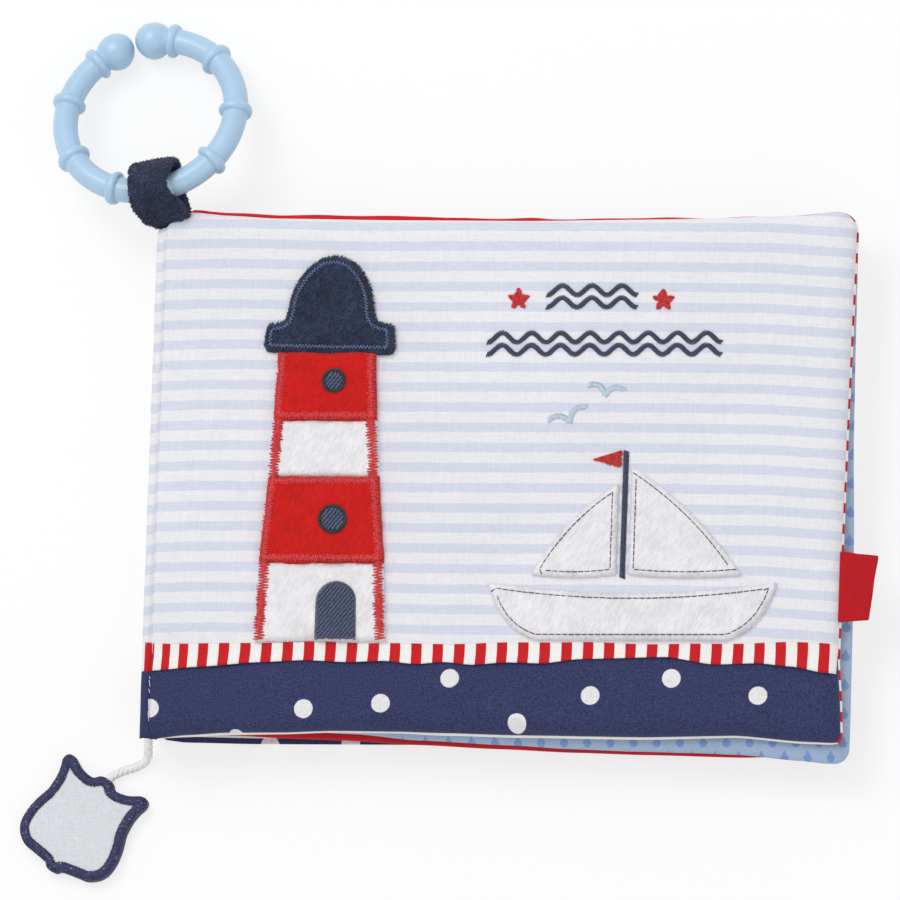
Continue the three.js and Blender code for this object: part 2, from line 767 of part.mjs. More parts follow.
// Sailing boat: a plush hull with a curved keel, two bellied sails, a mast and a pennant
function buildBoat() {
  const deck = hullWaterline + hullHeight;
  const hull = new THREE.Shape();
  hull.moveTo(boatX - hullKeelHalfLength, hullWaterline);
  hull.lineTo(boatX + hullKeelHalfLength, hullWaterline);
  hull.quadraticCurveTo(boatX + hullDeckHalfLength - hullSheer, hullWaterline + hullSheer,
    boatX + hullDeckHalfLength, deck);
  hull.quadraticCurveTo(boatX, deck - 2 * hullSheer, boatX - hullDeckHalfLength, deck);
  hull.quadraticCurveTo(boatX - hullDeckHalfLength + hullSheer, hullWaterline + hullSheer,
    boatX - hullKeelHalfLength, hullWaterline);
  addPiece('boat_hull', sewnPiece(hull, frontTop, boatThickness, boatBevel), colours.whitePlush);

  const mastX = boatX + mastOffset;
  const mast = roundedShape(mastX - mastWidth / 2, sailFoot - sailGap,
    mastX + mastWidth / 2, sailFoot - sailGap + mastHeight, mastWidth / 3);
  addPiece('boat_mast', sewnPiece(mast, frontTop, mastThickness, mastWidth / 8, 2),
    colours.navyThread);

  const sail = (side, length, height) => {
    const inner = mastX + side * (mastWidth / 2 + sailGap);
    const outer = inner + side * length;
    const shape = new THREE.Shape();
    shape.moveTo(inner, sailFoot);
    shape.quadraticCurveTo((inner + outer) / 2, sailFoot - sailBelly / 2, outer, sailFoot);
    shape.quadraticCurveTo((inner + outer) / 2 + side * sailBelly,
      sailFoot + height / 2 + sailBelly, inner, sailFoot + height);
    return sewnPiece(shape, frontTop, boatThickness, boatBevel);
  };
  addPiece('boat_mainsail', sail(1, mainsailLength, mainsailHeight), colours.whitePlush);
  addPiece('boat_jib', sail(-1, jibLength, jibHeight), colours.whitePlush);

  const tip = sailFoot - sailGap + mastHeight;
  const foot = mastX - mastWidth / 2 - layerGap;
  const pennant = new THREE.Shape();
  pennant.moveTo(foot, tip);
  pennant.lineTo(foot - pennantLength, tip - pennantHeight / 2);
  pennant.lineTo(foot, tip - pennantHeight);
  addPiece('boat_pennant', sewnPiece(pennant, frontTop, pennantThickness, pennantThickness / 5),
    colours.redThread);
}

function buildStars() {
  const names = ['left_star', 'right_star'];
  starCentres.forEach(([x, y], star) => {
    const shape = new THREE.Shape();
    for (let k = 0; k < 10; k += 1) {
      const radius = k % 2 === 0 ? starRadius : starRadius * starWaistShare;
      const angle = Math.PI / 2 + (k / 10) * 2 * Math.PI;
      const px = x + radius * Math.cos(angle);
      const py = y + radius * Math.sin(angle);
      if (k === 0) shape.moveTo(px, py);
      else shape.lineTo(px, py);
    }
    addPiece(names[star], sewnPiece(shape, frontTop, starThickness, starThickness / 5),
      colours.redThread);
  });
}

// Woven tab: a flat band with its fold away from the album
function buildTab() {
  const inner = frontLiningOutline.right + layerGap;
  const outer = inner + tabReach;
  const radius = tabThickness / 2;
  const profile = new THREE.Shape();
  profile.moveTo(inner, -radius);
  profile.lineTo(outer - radius, -radius);
  profile.absarc(outer - radius, 0, radius, -Math.PI / 2, Math.PI / 2, false);
  profile.lineTo(inner, radius);
  const geometry = new THREE.ExtrudeGeometry(profile, {
    depth: tabHeight,
    bevelEnabled: false,
    curveSegments: 5,
  });
  geometry.rotateX(Math.PI / 2);
  geometry.translate(0, tabCentreLevel + tabHeight / 2, frontSeam + tabThickness);
  addPiece('woven_tab', geometry, colours.wovenTab);
}

// The ring's own frame: flat in X and Y about its centre, then tilted up towards the loop
const rise = new THREE.Vector3(
  Math.cos(radians(ringRiseDirection)), Math.sin(radians(ringRiseDirection)), 0,
);
const tiltAxis = rise.clone().cross(new THREE.Vector3(0, 0, 1));
const ringTurn = new THREE.Quaternion().setFromAxisAngle(tiltAxis, radians(ringTilt));
const lowestBall = new THREE.Vector3(
  Math.cos(radians(ringEndAngles[1])), Math.sin(radians(ringEndAngles[1])), 0,
).multiplyScalar(ringRadius).applyQuaternion(ringTurn);
const ringCentre = new THREE.Vector3(
  ringCentreX, ringCentreY, ringBallRadius + runningGap / 2 - lowestBall.z,
);
const ringPoint = (degrees) => new THREE.Vector3(
  Math.cos(radians(degrees)), Math.sin(radians(degrees)), 0,
).multiplyScalar(ringRadius);

// Tube radius at each station along the ring: balls at both ends, ribs between
function ringStations() {
  const degreesPerLength = 180 / (Math.PI * ringRadius);
  const [start, end] = ringEndAngles;
  const stations = [];
  const ballSteps = 5;
  const neckAngle = Math.asin(ringTubeRadius / ringBallRadius);
  for (let k = 0; k <= ballSteps; k += 1) {
    const angle = -Math.PI + (k / ballSteps) * (Math.PI - neckAngle);
    const reach = ringBallRadius * Math.cos(angle) * degreesPerLength;
    const radius = -ringBallRadius * Math.sin(angle);
    stations.push([start + reach, radius]);
    stations.push([end - reach, radius]);
  }
  for (const angle of ringCollarAngles) {
    const half = ringCollarLength / 2 * degreesPerLength;
    for (const share of [-1, -ringCollarFlatShare, 0, ringCollarFlatShare, 1]) {
      const height = Math.abs(share) === 1 ? 0 : 1 - ringCollarFallShare * Math.abs(share);
      stations.push([
        angle + share * half,
        ringTubeRadius + (ringCollarRadius - ringTubeRadius) * height,
      ]);
    }
  }
  const halfClear = ringCollarLength * degreesPerLength;
  for (let angle = start + 2 * halfClear; angle < end - 2 * halfClear; angle += ringStep) {
    const clear = ringCollarAngles.every((collar) => Math.abs(collar - angle) > halfClear);
    if (clear) stations.push([angle, ringTubeRadius]);
  }
  return stations.sort((a, b) => a[0] - b[0]);
}

function buildRing() {
  const stations = ringStations();
  const positions = [];
  const index = [];
  const first = stations[0];
  const final = stations[stations.length - 1];
  const body = stations.slice(1, -1);
  for (const [degrees, radius] of body) {
    const centre = ringPoint(degrees);
    const outward = centre.clone().normalize();
    for (let k = 0; k < ringSides; k += 1) {
      const turn = (k / ringSides) * 2 * Math.PI;
      const point = centre.clone().addScaledVector(outward, radius * Math.cos(turn));
      positions.push(point.x, point.y, radius * Math.sin(turn));
    }
  }
  for (let ring = 0; ring + 1 < body.length; ring += 1) {
    for (let k = 0; k < ringSides; k += 1) {
      const a = ring * ringSides + k;
      const b = ring * ringSides + (k + 1) % ringSides;
      index.push(a, b, b + ringSides, a, b + ringSides, a + ringSides);
    }
  }
  const poleStart = positions.length / 3;
  positions.push(...ringPoint(first[0]).toArray(), ...ringPoint(final[0]).toArray());
  const last = (body.length - 1) * ringSides;
  for (let k = 0; k < ringSides; k += 1) {
    const next = (k + 1) % ringSides;
    index.push(poleStart, next, k);
    index.push(poleStart + 1, last + k, last + next);
  }
  index.reverse();
  const geometry = new THREE.BufferGeometry();
  geometry.setAttribute('position', new THREE.Float32BufferAttribute(positions, 3));
  geometry.setIndex(index);
  geometry.computeVertexNormals();
  const ring = addPiece('hanging_ring', geometry, colours.ringPlastic, 0.3);
  ring.position.copy(ringCentre);
  ring.quaternion.copy(ringTurn);
}

// Hanging loop: an eye round the ring, and the tail that is sewn to the back cover's cut corner
function buildLoop() {
  const eye = ringPoint(loopAngle).applyQuaternion(ringTurn).add(ringCentre);
  const tangent = new THREE.Vector3(
    -Math.sin(radians(loopAngle)), Math.cos(radians(loopAngle)), 0,
  ).applyQuaternion(ringTurn);
  const outerRadius = loopBoreRadius + loopWall;
  const softening = loopWall / 3;
  const halfWidth = loopWidth / 2;
  const profile = [
    [loopBoreRadius, -halfWidth + softening],
    [loopBoreRadius + softening, -halfWidth],
    [outerRadius - softening, -halfWidth],
    [outerRadius, -halfWidth + softening],
    [outerRadius, halfWidth - softening],
    [outerRadius - softening, halfWidth],
    [loopBoreRadius + softening, halfWidth],
    [loopBoreRadius, halfWidth - softening],
    [loopBoreRadius, -halfWidth + softening],
  ].map(([radius, along]) => new THREE.Vector2(radius, along));
  // A lathe's axis is Y, so the eye's frame has the ring's tangent as its Y.
  const side = new THREE.Vector3(0, 0, 1).cross(tangent).normalize();
  const frame = new THREE.Matrix4().makeBasis(side, tangent, side.clone().cross(tangent));
  frame.setPosition(eye);
  const sleeve = new THREE.LatheGeometry(profile, loopSides);
  sleeve.applyMatrix4(frame);
  addPiece('hanging_loop_eye', sleeve, colours.navyPlush);

  // The tail's profile is drawn square to the corner's cut: outward from it, and up.
  const tail = new THREE.Shape();
  tail.moveTo(runningGap, loopTailBottom);
  tail.lineTo(loopTailEnd, loopTailBottom);
  tail.lineTo(loopTailEnd, loopTailTop);
  tail.lineTo(loopTailStep, loopTailTop);
  tail.lineTo(loopTailStep, backTop);
  tail.lineTo(runningGap, backTop);
  const geometry = new THREE.ExtrudeGeometry(tail, { depth: loopTailWidth, bevelEnabled: false });
  geometry.translate(0, 0, loopTailStart);
  const alongCut = new THREE.Vector3(1, 0, 0)
    .applyAxisAngle(new THREE.Vector3(0, 0, 1), radians(cornerCutSlope));
  const acrossCut = new THREE.Vector3(-alongCut.y, alongCut.x, 0);
  const seat = new THREE.Matrix4().makeBasis(acrossCut, new THREE.Vector3(0, 0, 1), alongCut);
  seat.setPosition(spineOuter, cornerCutLevel, 0);
  geometry.applyMatrix4(seat);
  const seatRadius = outerRadius + runningGap;
  const hollow = new THREE.CylinderGeometry(seatRadius, seatRadius, 2 * loopWidth, loopSides);
  hollow.applyMatrix4(frame);
  const solid = toSolid(geometry).subtract(toSolid(hollow));
  addPiece('hanging_loop_tail', toGeometry(solid), colours.navyPlush);
}

// Cord and badge
function polygonSection(radius, sides) {
  const shape = new THREE.Shape();
  for (let k = 0; k < sides; k += 1) {
    const angle = ((k + 1 / 2) / sides) * 2 * Math.PI;
    const x = radius * Math.cos(angle);
    const y = radius * Math.sin(angle);
    if (k === 0) shape.moveTo(x, y);
    else shape.lineTo(x, y);
  }
  return shape;
}

function buildCordAndBadge() {
  const points = cordRoute.map((point) => new THREE.Vector3(...point));
  const path = new THREE.CatmullRomCurve3(points);
  const tube = (radius) => new THREE.ExtrudeGeometry(polygonSection(radius, cordSides), {
    steps: cordSteps, extrudePath: path, bevelEnabled: false,
  });
  const cordRadius = cordDiameter / 2;
  const end = new THREE.SphereGeometry(cordRadius, cordSides, cordSides / 2);
  end.rotateX(Math.PI / 2);
  end.translate(...cordRoute[0]);
  const cord = toSolid(tube(cordRadius)).add(toSolid(end));
  addPiece('badge_cord', toGeometry(cord), colours.cord);

  // The whole outline, counter-clockwise, from its right half.
  const mirrored = (rightHalf, share) => {
    const half = rightHalf.map(([x, y]) => new THREE.Vector3(x, y, 0).multiplyScalar(share));
    const other = half.slice(1, -1).reverse()
      .map((point) => new THREE.Vector3(-point.x, point.y, 0));
    const curve = new THREE.CatmullRomCurve3([...half, ...other], true);
    return curve.getPoints(badgeSteps).slice(0, -1).reverse()
      .map((point) => new THREE.Vector2(point.x, point.y));
  };
  const outline = mirrored(shieldHalf, 1);
  const place = (geometry) => {
    geometry.rotateZ(radians(badgeLean));
    geometry.translate(badgeX, badgeY, 0);
    return toSolid(geometry);
  };
  const channelRadius = (cordRadius + cordChannelGap) / Math.cos(Math.PI / cordSides);
  const channelEnd = new THREE.SphereGeometry(channelRadius + layerGap, cordSides, cordSides);
  channelEnd.translate(...cordRoute[cordRoute.length - 1]);
  const channel = toSolid(tube(channelRadius)).add(toSolid(channelEnd));
  const badgeMiddle = badgeBackThickness + layerGap / 2;
  const backGeometry = prism(new THREE.Shape(outline), 0, badgeBackThickness);
  addPiece('badge_back', toGeometry(place(backGeometry).subtract(channel)), colours.badgeBorder);

  const rim = new THREE.Shape(outline);
  rim.holes.push(new THREE.Path(mirrored(faceHalf, 1)));
  const border = place(prism(rim, badgeMiddle, badgeThickness - layerGap)).subtract(channel);
  addPiece('badge_border', toGeometry(border), colours.badgeBorder);
  const faceShape = new THREE.Shape(mirrored(faceHalf, faceShare));
  const face = place(prism(faceShape, badgeMiddle, badgeThickness)).subtract(channel);
  addPiece('badge_face', toGeometry(face), colours.badgeSatin);
}

buildFrontCover();
buildLighthouse();
buildBoat();
buildStars();
buildTab();
buildLeaf('upper_leaf', upperLeafOutline, upperLeafBottom, upperLeafTop, colours.dropCotton);
buildLeaf('lower_leaf', lowerLeafOutline, lowerLeafBottom, lowerLeafTop, colours.redCotton);
buildBackCover();
buildSpine();
buildRing();
buildLoop();
buildCordAndBadge();

export default album;
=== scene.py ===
"""A soft baby photo album: padded cloth covers and leaves, a sewn-on lighthouse and sailing boat,
a plush loop with a plastic ring, and a badge on a short cord."""

import json
import math
import random

import bmesh
import bpy
from bpy.props import FloatProperty, FloatVectorProperty, IntProperty, PointerProperty
from mathutils import Matrix, Vector, noise

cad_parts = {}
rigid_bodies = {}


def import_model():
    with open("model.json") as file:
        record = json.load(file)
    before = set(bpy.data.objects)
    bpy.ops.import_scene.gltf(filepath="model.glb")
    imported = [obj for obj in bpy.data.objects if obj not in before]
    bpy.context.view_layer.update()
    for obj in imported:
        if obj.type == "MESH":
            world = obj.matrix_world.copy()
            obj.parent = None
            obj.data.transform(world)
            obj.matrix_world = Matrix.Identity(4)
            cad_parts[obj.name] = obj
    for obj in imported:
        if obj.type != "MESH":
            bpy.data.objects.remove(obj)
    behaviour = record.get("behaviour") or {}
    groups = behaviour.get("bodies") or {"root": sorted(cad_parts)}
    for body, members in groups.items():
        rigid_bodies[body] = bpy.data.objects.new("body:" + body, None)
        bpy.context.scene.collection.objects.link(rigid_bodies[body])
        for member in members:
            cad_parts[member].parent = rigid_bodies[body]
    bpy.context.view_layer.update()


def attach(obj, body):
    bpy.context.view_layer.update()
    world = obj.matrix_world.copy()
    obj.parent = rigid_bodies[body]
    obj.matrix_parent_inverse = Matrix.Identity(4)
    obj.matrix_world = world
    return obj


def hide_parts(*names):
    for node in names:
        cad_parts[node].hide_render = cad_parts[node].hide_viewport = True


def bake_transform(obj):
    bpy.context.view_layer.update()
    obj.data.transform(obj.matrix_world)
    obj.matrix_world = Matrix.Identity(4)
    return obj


bl_info = {
    "name": "Baby photo album",
    "version": (1, 0, 0),
    "blender": (4, 5, 0),
    "location": "3D View > Sidebar > Album",
    "description": "Builds a soft baby photo album, piece by piece",
    "category": "Add Mesh",
}

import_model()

MM = 0.001
# Levels and thicknesses in millimetres.
FACE = 21.0
FRONT_SEAM = 17.6
SEWN = FACE - 0.5
BLOCK_TOP = FACE + 1.55
HALF_LEAF = 1.95
# The weave's pitch in metres.
THREAD_PITCH = 0.00042
TAU = 2 * math.pi


def colour(name, text, words):
    """A colour property whose default is a written sRGB colour."""
    parts = [int(text[k:k + 2], 16) / 255 for k in (0, 2, 4)]
    default = [c / 12.92 if c <= 0.04045 else ((c + 0.055) / 1.055) ** 2.4 for c in parts]
    return FloatVectorProperty(
        name=name, description=words, subtype="COLOR", size=3, min=0, max=1, default=default
    )


class AlbumColours(bpy.types.PropertyGroup):
    stripe_blue: colour("Stripe blue", "D8DCEA", "Blue stripe of the cover cloth")
    stripe_white: colour("Stripe white", "ECEBF0", "White stripe of the cover cloth")
    ribbon_red: colour("Ribbon red", "C91B23", "Red stripe of the ribbon and the lining")
    ribbon_white: colour("Ribbon white", "F3EFEC", "White stripe of the ribbon and the lining")
    navy_cotton: colour("Navy cotton", "353A61", "Dotted band of the covers")
    dot_white: colour("Dot white", "E6E5E8", "Dots of the navy band")
    leaf_blue: colour("Leaf blue", "A4B8D4", "Cloth of the upper leaf")
    drop_blue: colour("Drop blue", "7B9ACB", "Drops on the upper leaf")
    leaf_red: colour("Leaf red", "C01C26", "Cloth of the lower leaf")
    navy_plush: colour("Navy plush", "303B5A", "Lantern dome and hanging loop")
    red_plush: colour("Red plush", "CC120E", "Red blocks of the lighthouse")
    white_plush: colour("White plush", "EEECEF", "White blocks, hull and sails")
    slate_thread: colour("Slate thread", "29324F", "Fill of the windows and the door")
    navy_thread: colour("Navy thread", "2C3554", "Outlines and waves")
    pale_thread: colour("Pale thread", "C7D6E4", "Gulls")
    red_thread: colour("Red thread", "CB151D", "Stars, pennant and zigzags")
    steel_thread: colour("Steel thread", "5A6C92", "Pale threads of the windows and the door")
    ink_thread: colour("Ink thread", "10141F", "Rims of the windows")
    rose_thread: colour("Rose thread", "D8282F", "Edging of the red blocks")
    tab_red: colour("Tab red", "B9141F", "Woven edge tab")
    ring_blue: colour("Ring blue", "A9C8E2", "Plastic ring")
    cord_white: colour("Cord white", "F0ECEC", "Braided cord")
    badge_grey: colour("Badge grey", "DCDDE2", "Satin face of the badge")
    badge_navy: colour("Badge navy", "1C2156", "Border of the badge")


class AlbumSizes(bpy.types.PropertyGroup):
    stripe_period: FloatProperty(
        name="Stripe period", description="Blue and white stripe together, in mm",
        default=5.79, min=1,
    )
    ribbon_period: FloatProperty(
        name="Ribbon period", description="Red and white stripe together, in mm",
        default=6.1, min=1,
    )
    dot_size: FloatProperty(
        name="Dot size", description="Diameter of the dots on the navy band, in mm",
        default=5.3, min=0.5,
    )
    cloth_step: FloatProperty(
        name="Cloth step", description="Spacing of the cloth's mesh, in mm", default=1.6, min=0.5
    )
    ring_sides: IntProperty(
        name="Ring sides", description="Sides of the ring's tube", default=36, min=8
    )


class AlbumStage(bpy.types.PropertyGroup):
    lens_distance: FloatProperty(
        name="Camera distance", description="From the camera to its target", default=8.0,
        unit="LENGTH", min=0.5,
    )
    frame_width: FloatProperty(
        name="Frame width", description="Width of the picture at the target", default=0.2524,
        unit="LENGTH", min=0.05,
    )
    key_power: FloatProperty(
        name="Key light", description="Power of the large soft light", default=9.5, min=0
    )
    fill_power: FloatProperty(
        name="Fill light", description="Power of the weak second light", default=3.1, min=0
    )


def palette():
    return bpy.context.scene.album_colours


def sizes():
    return bpy.context.scene.album_sizes


class Value:
    """A number or a vector in a shader. Its arithmetic makes the nodes."""

    def __init__(self, skin, socket):
        self.skin = skin
        self.socket = socket

    def __add__(self, other):
        return self.skin.math("ADD", self, other)

    def __sub__(self, other):
        return self.skin.math("SUBTRACT", self, other)

    def __rsub__(self, other):
        return self.skin.math("SUBTRACT", other, self)

    def __mul__(self, other):
        return self.skin.math("MULTIPLY", self, other)


class Surface:
    """A material with its shader and short calls for the nodes of a pattern."""

    def __init__(self, name, roughness=0.85, sheen=0.12, specular=0.2):
        self.material = bpy.data.materials.new(name)
        self.material.use_nodes = True
        self.nodes = self.material.node_tree.nodes
        self.links = self.material.node_tree.links
        self.shader = self.nodes["Principled BSDF"]
        self.set("Roughness", roughness)
        self.set("Sheen Weight", sheen)
        self.set("Sheen Roughness", 0.5)
        self.set("Specular IOR Level", specular)
        self.place = Value(self, self.nodes.new("ShaderNodeTexCoord").outputs["Object"])

    def set(self, name, value):
        self.shader.inputs[name].default_value = value

    def feed(self, socket, value):
        if isinstance(value, Value):
            self.links.new(value.socket, socket)
        elif hasattr(socket.default_value, "__len__") and not hasattr(value, "__len__"):
            socket.default_value = [value] * len(socket.default_value)
        elif hasattr(value, "__len__") and len(socket.default_value) == 4:
            socket.default_value = (*list(value)[:3], 1)
        else:
            socket.default_value = value

    def node(self, kind, inputs, output=0, **settings):
        """A new node with its settings and its inputs, by name or number."""
        node = self.nodes.new(f"ShaderNode{kind}")
        for name, setting in settings.items():
            setattr(node, name, setting)
        for key, value in inputs.items():
            self.feed(node.inputs[key], value)
        return Value(self, node.outputs[output])

    def math(self, operation, *values):
        return self.node("Math", dict(enumerate(values)), operation=operation)

    def vector(self, operation, *values):
        output = "Value" if operation in ("LENGTH", "DISTANCE") else "Vector"
        return self.node("VectorMath", dict(enumerate(values)), output, operation=operation)

    def split(self, vector):
        node = self.nodes.new("ShaderNodeSeparateXYZ")
        self.feed(node.inputs[0], vector)
        return [Value(self, output) for output in node.outputs]

    def join(self, x, y):
        return self.node("CombineXYZ", {0: x, 1: y})

    def mix(self, factor, first, second):
        return self.node("Mix", {"Factor": factor, 6: first, 7: second}, 2, data_type="RGBA")

    def ramp(self, value, low, high, start=0.0, end=1.0):
        numbers = dict(enumerate((value, low, high, start, end)))
        return self.node("MapRange", numbers, interpolation_type="SMOOTHSTEP")

    def noise(self, place, scale, detail=2.0, roughness=0.5):
        inputs = {"Vector": place, "Scale": scale, "Detail": detail, "Roughness": roughness}
        return self.node("TexNoise", inputs, "Fac")

    def stretch(self, scale, turn=0.0):
        """Places drawn out along the axes, or along axes turned about Z."""
        inputs = {
            "Vector": self.place, "Rotation": (0, 0, turn), "Scale": [1 / part for part in scale]
        }
        return self.node("Mapping", inputs, vector_type="TEXTURE")

    def bump(self, height, distance, strength):
        inputs = {"Distance": distance, "Strength": strength, "Height": height}
        self.feed(self.shader.inputs["Normal"], self.node("Bump", inputs))

    def colour(self, value):
        self.feed(self.shader.inputs["Base Color"], value)

    def waves(self, axis, period):
        """A sine across one coordinate, from 0 to 1, with a period in metres."""
        return self.math("SINE", axis * (TAU / period)) * 0.5 + 0.5

    def off_stripe(self, across, period, shift):
        """How far a place is from the middle of its stripe, in periods."""
        part = self.math("FRACT", across * (1 / period) + (100.5 + shift / period))
        return self.math("ABSOLUTE", part - 0.5)

    def weave(self, tone, variation, relief=0.5, depth=0.00005):
        """Colours the cloth and gives it a plain weave: two families of threads over and under
        each other, with thread-by-thread and broad differences of shade."""
        fine = self.noise(self.place, 2300, 2, 0.65)
        across = self.noise(self.stretch((0.12, 1.0, 1.0)), 1900, 2, 0.6)
        along = self.noise(self.stretch((1.0, 0.1, 1.0)), 1900, 2, 0.6)
        broad = self.noise(self.place, 26, 2)
        both = (across + along) * 0.225 + fine * 0.4 + broad * 0.15
        value = self.ramp(both, 0.37, 0.63, 1 - variation, 1 + variation * 0.6)
        self.colour(self.node("HueSaturation", {"Color": tone, "Value": value}))
        x, y, z = self.split(self.place)
        threads = self.waves(x, THREAD_PITCH) * self.waves(y + z, THREAD_PITCH)
        self.bump(threads + self.noise(self.place, 900, 3), depth, relief)
        return self.material


def striped_cotton():
    """Blue and white stripes, a little uneven, as the cloth lies on the front cover."""
    skin = Surface("striped_cotton", 0.88)
    x, y, _ = skin.split(skin.place)
    sway = skin.noise(skin.stretch((11, 3, 3)), 1.0, 1)
    row = y + (sway - 0.5) * 0.0016 + x * 0.006
    for low, high, start, end in (
        (-0.0986, -0.0972, 0.0009, 0.0), (-0.096, -0.085, 0.0003, 0.0), (0.072, 0.097, 0.0, 0.0012),
    ):
        row = row + skin.ramp(x, low, high, start, end)
    row = row + skin.ramp(y, -0.03, 0.065) * skin.ramp(x, -0.078, -0.035, 0, 0.0007)
    away = skin.off_stripe(row, sizes().stripe_period * MM, -3.1 * MM)
    ragged = skin.noise(skin.stretch((0.3, 1.0, 1.0)), 1100, 2) * 0.09 - 0.045
    stripe = skin.ramp(away + ragged, 0.2, 0.265, 1, 0)
    tone = skin.mix(stripe, palette().stripe_white, palette().stripe_blue)
    return skin.weave(tone, 0.075, 0.7, 0.00008)


def red_stripes(skin, away, hide=None, add=None):
    """Red and white cotton, with places where the stripes are left out or all red."""
    stripe = skin.ramp(away, 0.235, 0.255, 1, 0)
    if hide:
        stripe = stripe * (1.0 - hide)
    if add:
        stripe = skin.math("MAXIMUM", stripe, add)
    tone = skin.mix(stripe, palette().ribbon_white, palette().ribbon_red)
    return skin.weave(tone, 0.06)


def ribbon_cotton():
    """Red and white stripes across the ribbon, closer and leaning towards the spine."""
    skin = Surface("ribbon_cotton")
    x, y, z = skin.split(skin.place)
    squeeze = skin.math("POWER", skin.math("MAXIMUM", -0.075 - x, 0.0), 3.0) * 283.0
    lean = skin.ramp(x, -0.095, -0.05, 0.035, 0.0) * y
    lean = lean + skin.ramp(x, -0.095, -0.05, 0.00175, 0.0)
    sway = skin.noise(skin.place, 60, 1) * 0.0008 - 0.0004
    round_spine = skin.ramp(x, -0.0994, -0.0988, 1, 0) * (z - 0.0204)
    across = x - squeeze - lean + sway + round_spine
    return red_stripes(skin, skin.off_stripe(across, sizes().ribbon_period * MM, 70.75 * MM))


def lining_cotton():
    """Red and white stripes one above the other, with a white hem and a red head."""
    skin = Surface("lining_cotton")
    x, y, _ = skin.split(skin.place)
    hem = skin.ramp(y, -0.0718, -0.0713, 1, 0) * skin.ramp(x, 0.0945, 0.096, 1, 0)
    head = skin.ramp(y, 0.0735, 0.0738, 0, 1) * skin.ramp(x, 0.05, 0.06, 1, 0)
    return red_stripes(skin, skin.off_stripe(y, 5.935 * MM, -15.86 * MM), hem, head)


FRONT_DOTS = [
    (-97.5, -65.7), (-73.1, -74.0), (-53.5, -65.8), (-31.6, -64.2), (-12.1, -57.1), (7.5, -69.8),
    (28.0, -61.9), (50.9, -57.0), (75.6, -61.8),
]
BACK_DOTS = [
    (-90, -58.5), (-66, -73.2), (-55, -60), (-43, -72.6), (-33, -57), (-14, -66), (3, -58),
    (24, -72.8), (33, -60), (52, -67), (66, -57), (82, -70), (95, -59),
]


def dotted_cotton(spots, name):
    """Navy cotton with white dots at their places."""
    skin = Surface(name)
    x, y, _ = skin.split(skin.place)
    flat = skin.join(x, y)
    nearest = None
    for across, up in spots:
        gap = skin.vector("DISTANCE", flat, (across * MM, up * MM, 0))
        nearest = gap if nearest is None else skin.math("MINIMUM", nearest, gap)
    edge = nearest + (skin.noise(skin.place, 1500, 2) * 0.0002 - 0.0001)
    radius = sizes().dot_size * MM / 2
    dot = skin.ramp(edge, radius - 0.00012, radius + 0.00012, 1, 0)
    grain = skin.ramp(skin.noise(skin.place, 2100, 2, 0.7), 0.4, 0.62)
    deep, pale = ([c * share for c in palette().navy_cotton] for share in (0.72, 1.35))
    return skin.weave(skin.mix(dot, skin.mix(grain, deep, pale), palette().dot_white), 0.12)


def drop_cotton():
    """Pale blue cotton with staggered drops."""
    skin = Surface("drop_cotton")
    x, y, _ = skin.split(skin.place)
    pitch_x, pitch_y = 0.0066, 0.0082
    shape = None
    for shift in (0.0, 0.5):
        u = skin.math("FRACT", x * (1 / pitch_x) + (50 + shift))
        v = skin.math("FRACT", y * (1 / pitch_y) + (50 + shift))
        across = (u - 0.5) * (pitch_x / 0.00125)
        upward = (v - 0.5) * (pitch_y / 0.00165)
        taper = skin.ramp(upward, -0.2, 1.15, 1.0, 3.4)
        drop = skin.ramp(skin.vector("LENGTH", skin.join(across * taper, upward)), 0.94, 1.06, 1, 0)
        shape = drop if shape is None else skin.math("MAXIMUM", shape, drop)
    return skin.weave(skin.mix(shape, palette().leaf_blue, palette().drop_blue), 0.08)


def plain_cotton(name, tone):
    return Surface(name, 0.86).weave(tone, 0.1, 0.6)


def plush(name, tone, depth, sheen, turn):
    """Short pile: tufts a little apart, brushed one way, with painted shade between them and
    painted light on their tops.
    """
    skin = Surface(name, 0.9, sheen, 0.15)
    tufts = skin.noise(skin.stretch((0.42, 1.7, 1.0), turn), 1050, 3, 0.6)
    height = tufts * 0.7 + skin.noise(skin.place, 170, 3, 0.6) * 0.6
    # Lit and shaded copies of the pile's tone. depth sets how strong the painted light and shade
    # are.
    light = [min(1.0, c * (1 + depth * 1.4) + 0.02 * depth) for c in tone]
    deep = [c * (1 - depth * 2.2) for c in tone]
    # Painted light on the tufts' tops and painted shade in the hollows between them, following the
    # bump's height.
    skin.colour(skin.mix(skin.ramp(height, 0.42, 0.88), deep, light))
    skin.bump(height, 0.0009, 0.75)
    return skin.material


def thread(name, tone, light, glints=0.0):
    """Shiny embroidery thread, with fine ply lines in painted highlight and painted shade and, if
    asked, painted pale glints.
    """
    skin = Surface(name, 0.5, 0.25, 0.45)
    ply = skin.noise(skin.place, 2400, 2, 0.6)
    # Painted highlight and painted shade: lit and shaded copies of the thread's tone, as strong as
    # light says.
    ply_highlight = [min(1.0, c * (1 + light) + 0.03) for c in tone]
    dark = [c * (1 - light) for c in tone]
    # The ply's ridges get the painted highlight and its grooves the painted shade, following the
    # bump's height.
    shade = skin.mix(skin.ramp(ply, 0.35, 0.65), dark, ply_highlight)
    if glints:
        # Painted glints: pale spots mixed into the thread's colour.
        glint_mask = skin.ramp(skin.noise(skin.place, 1500, 1, 0.4), 0.66, 0.74, 0, glints)
        shade = skin.mix(glint_mask, shade, (0.55, 0.58, 0.72))
    skin.colour(shade)
    skin.bump(ply, 0.0001, 0.4)
    return skin.material


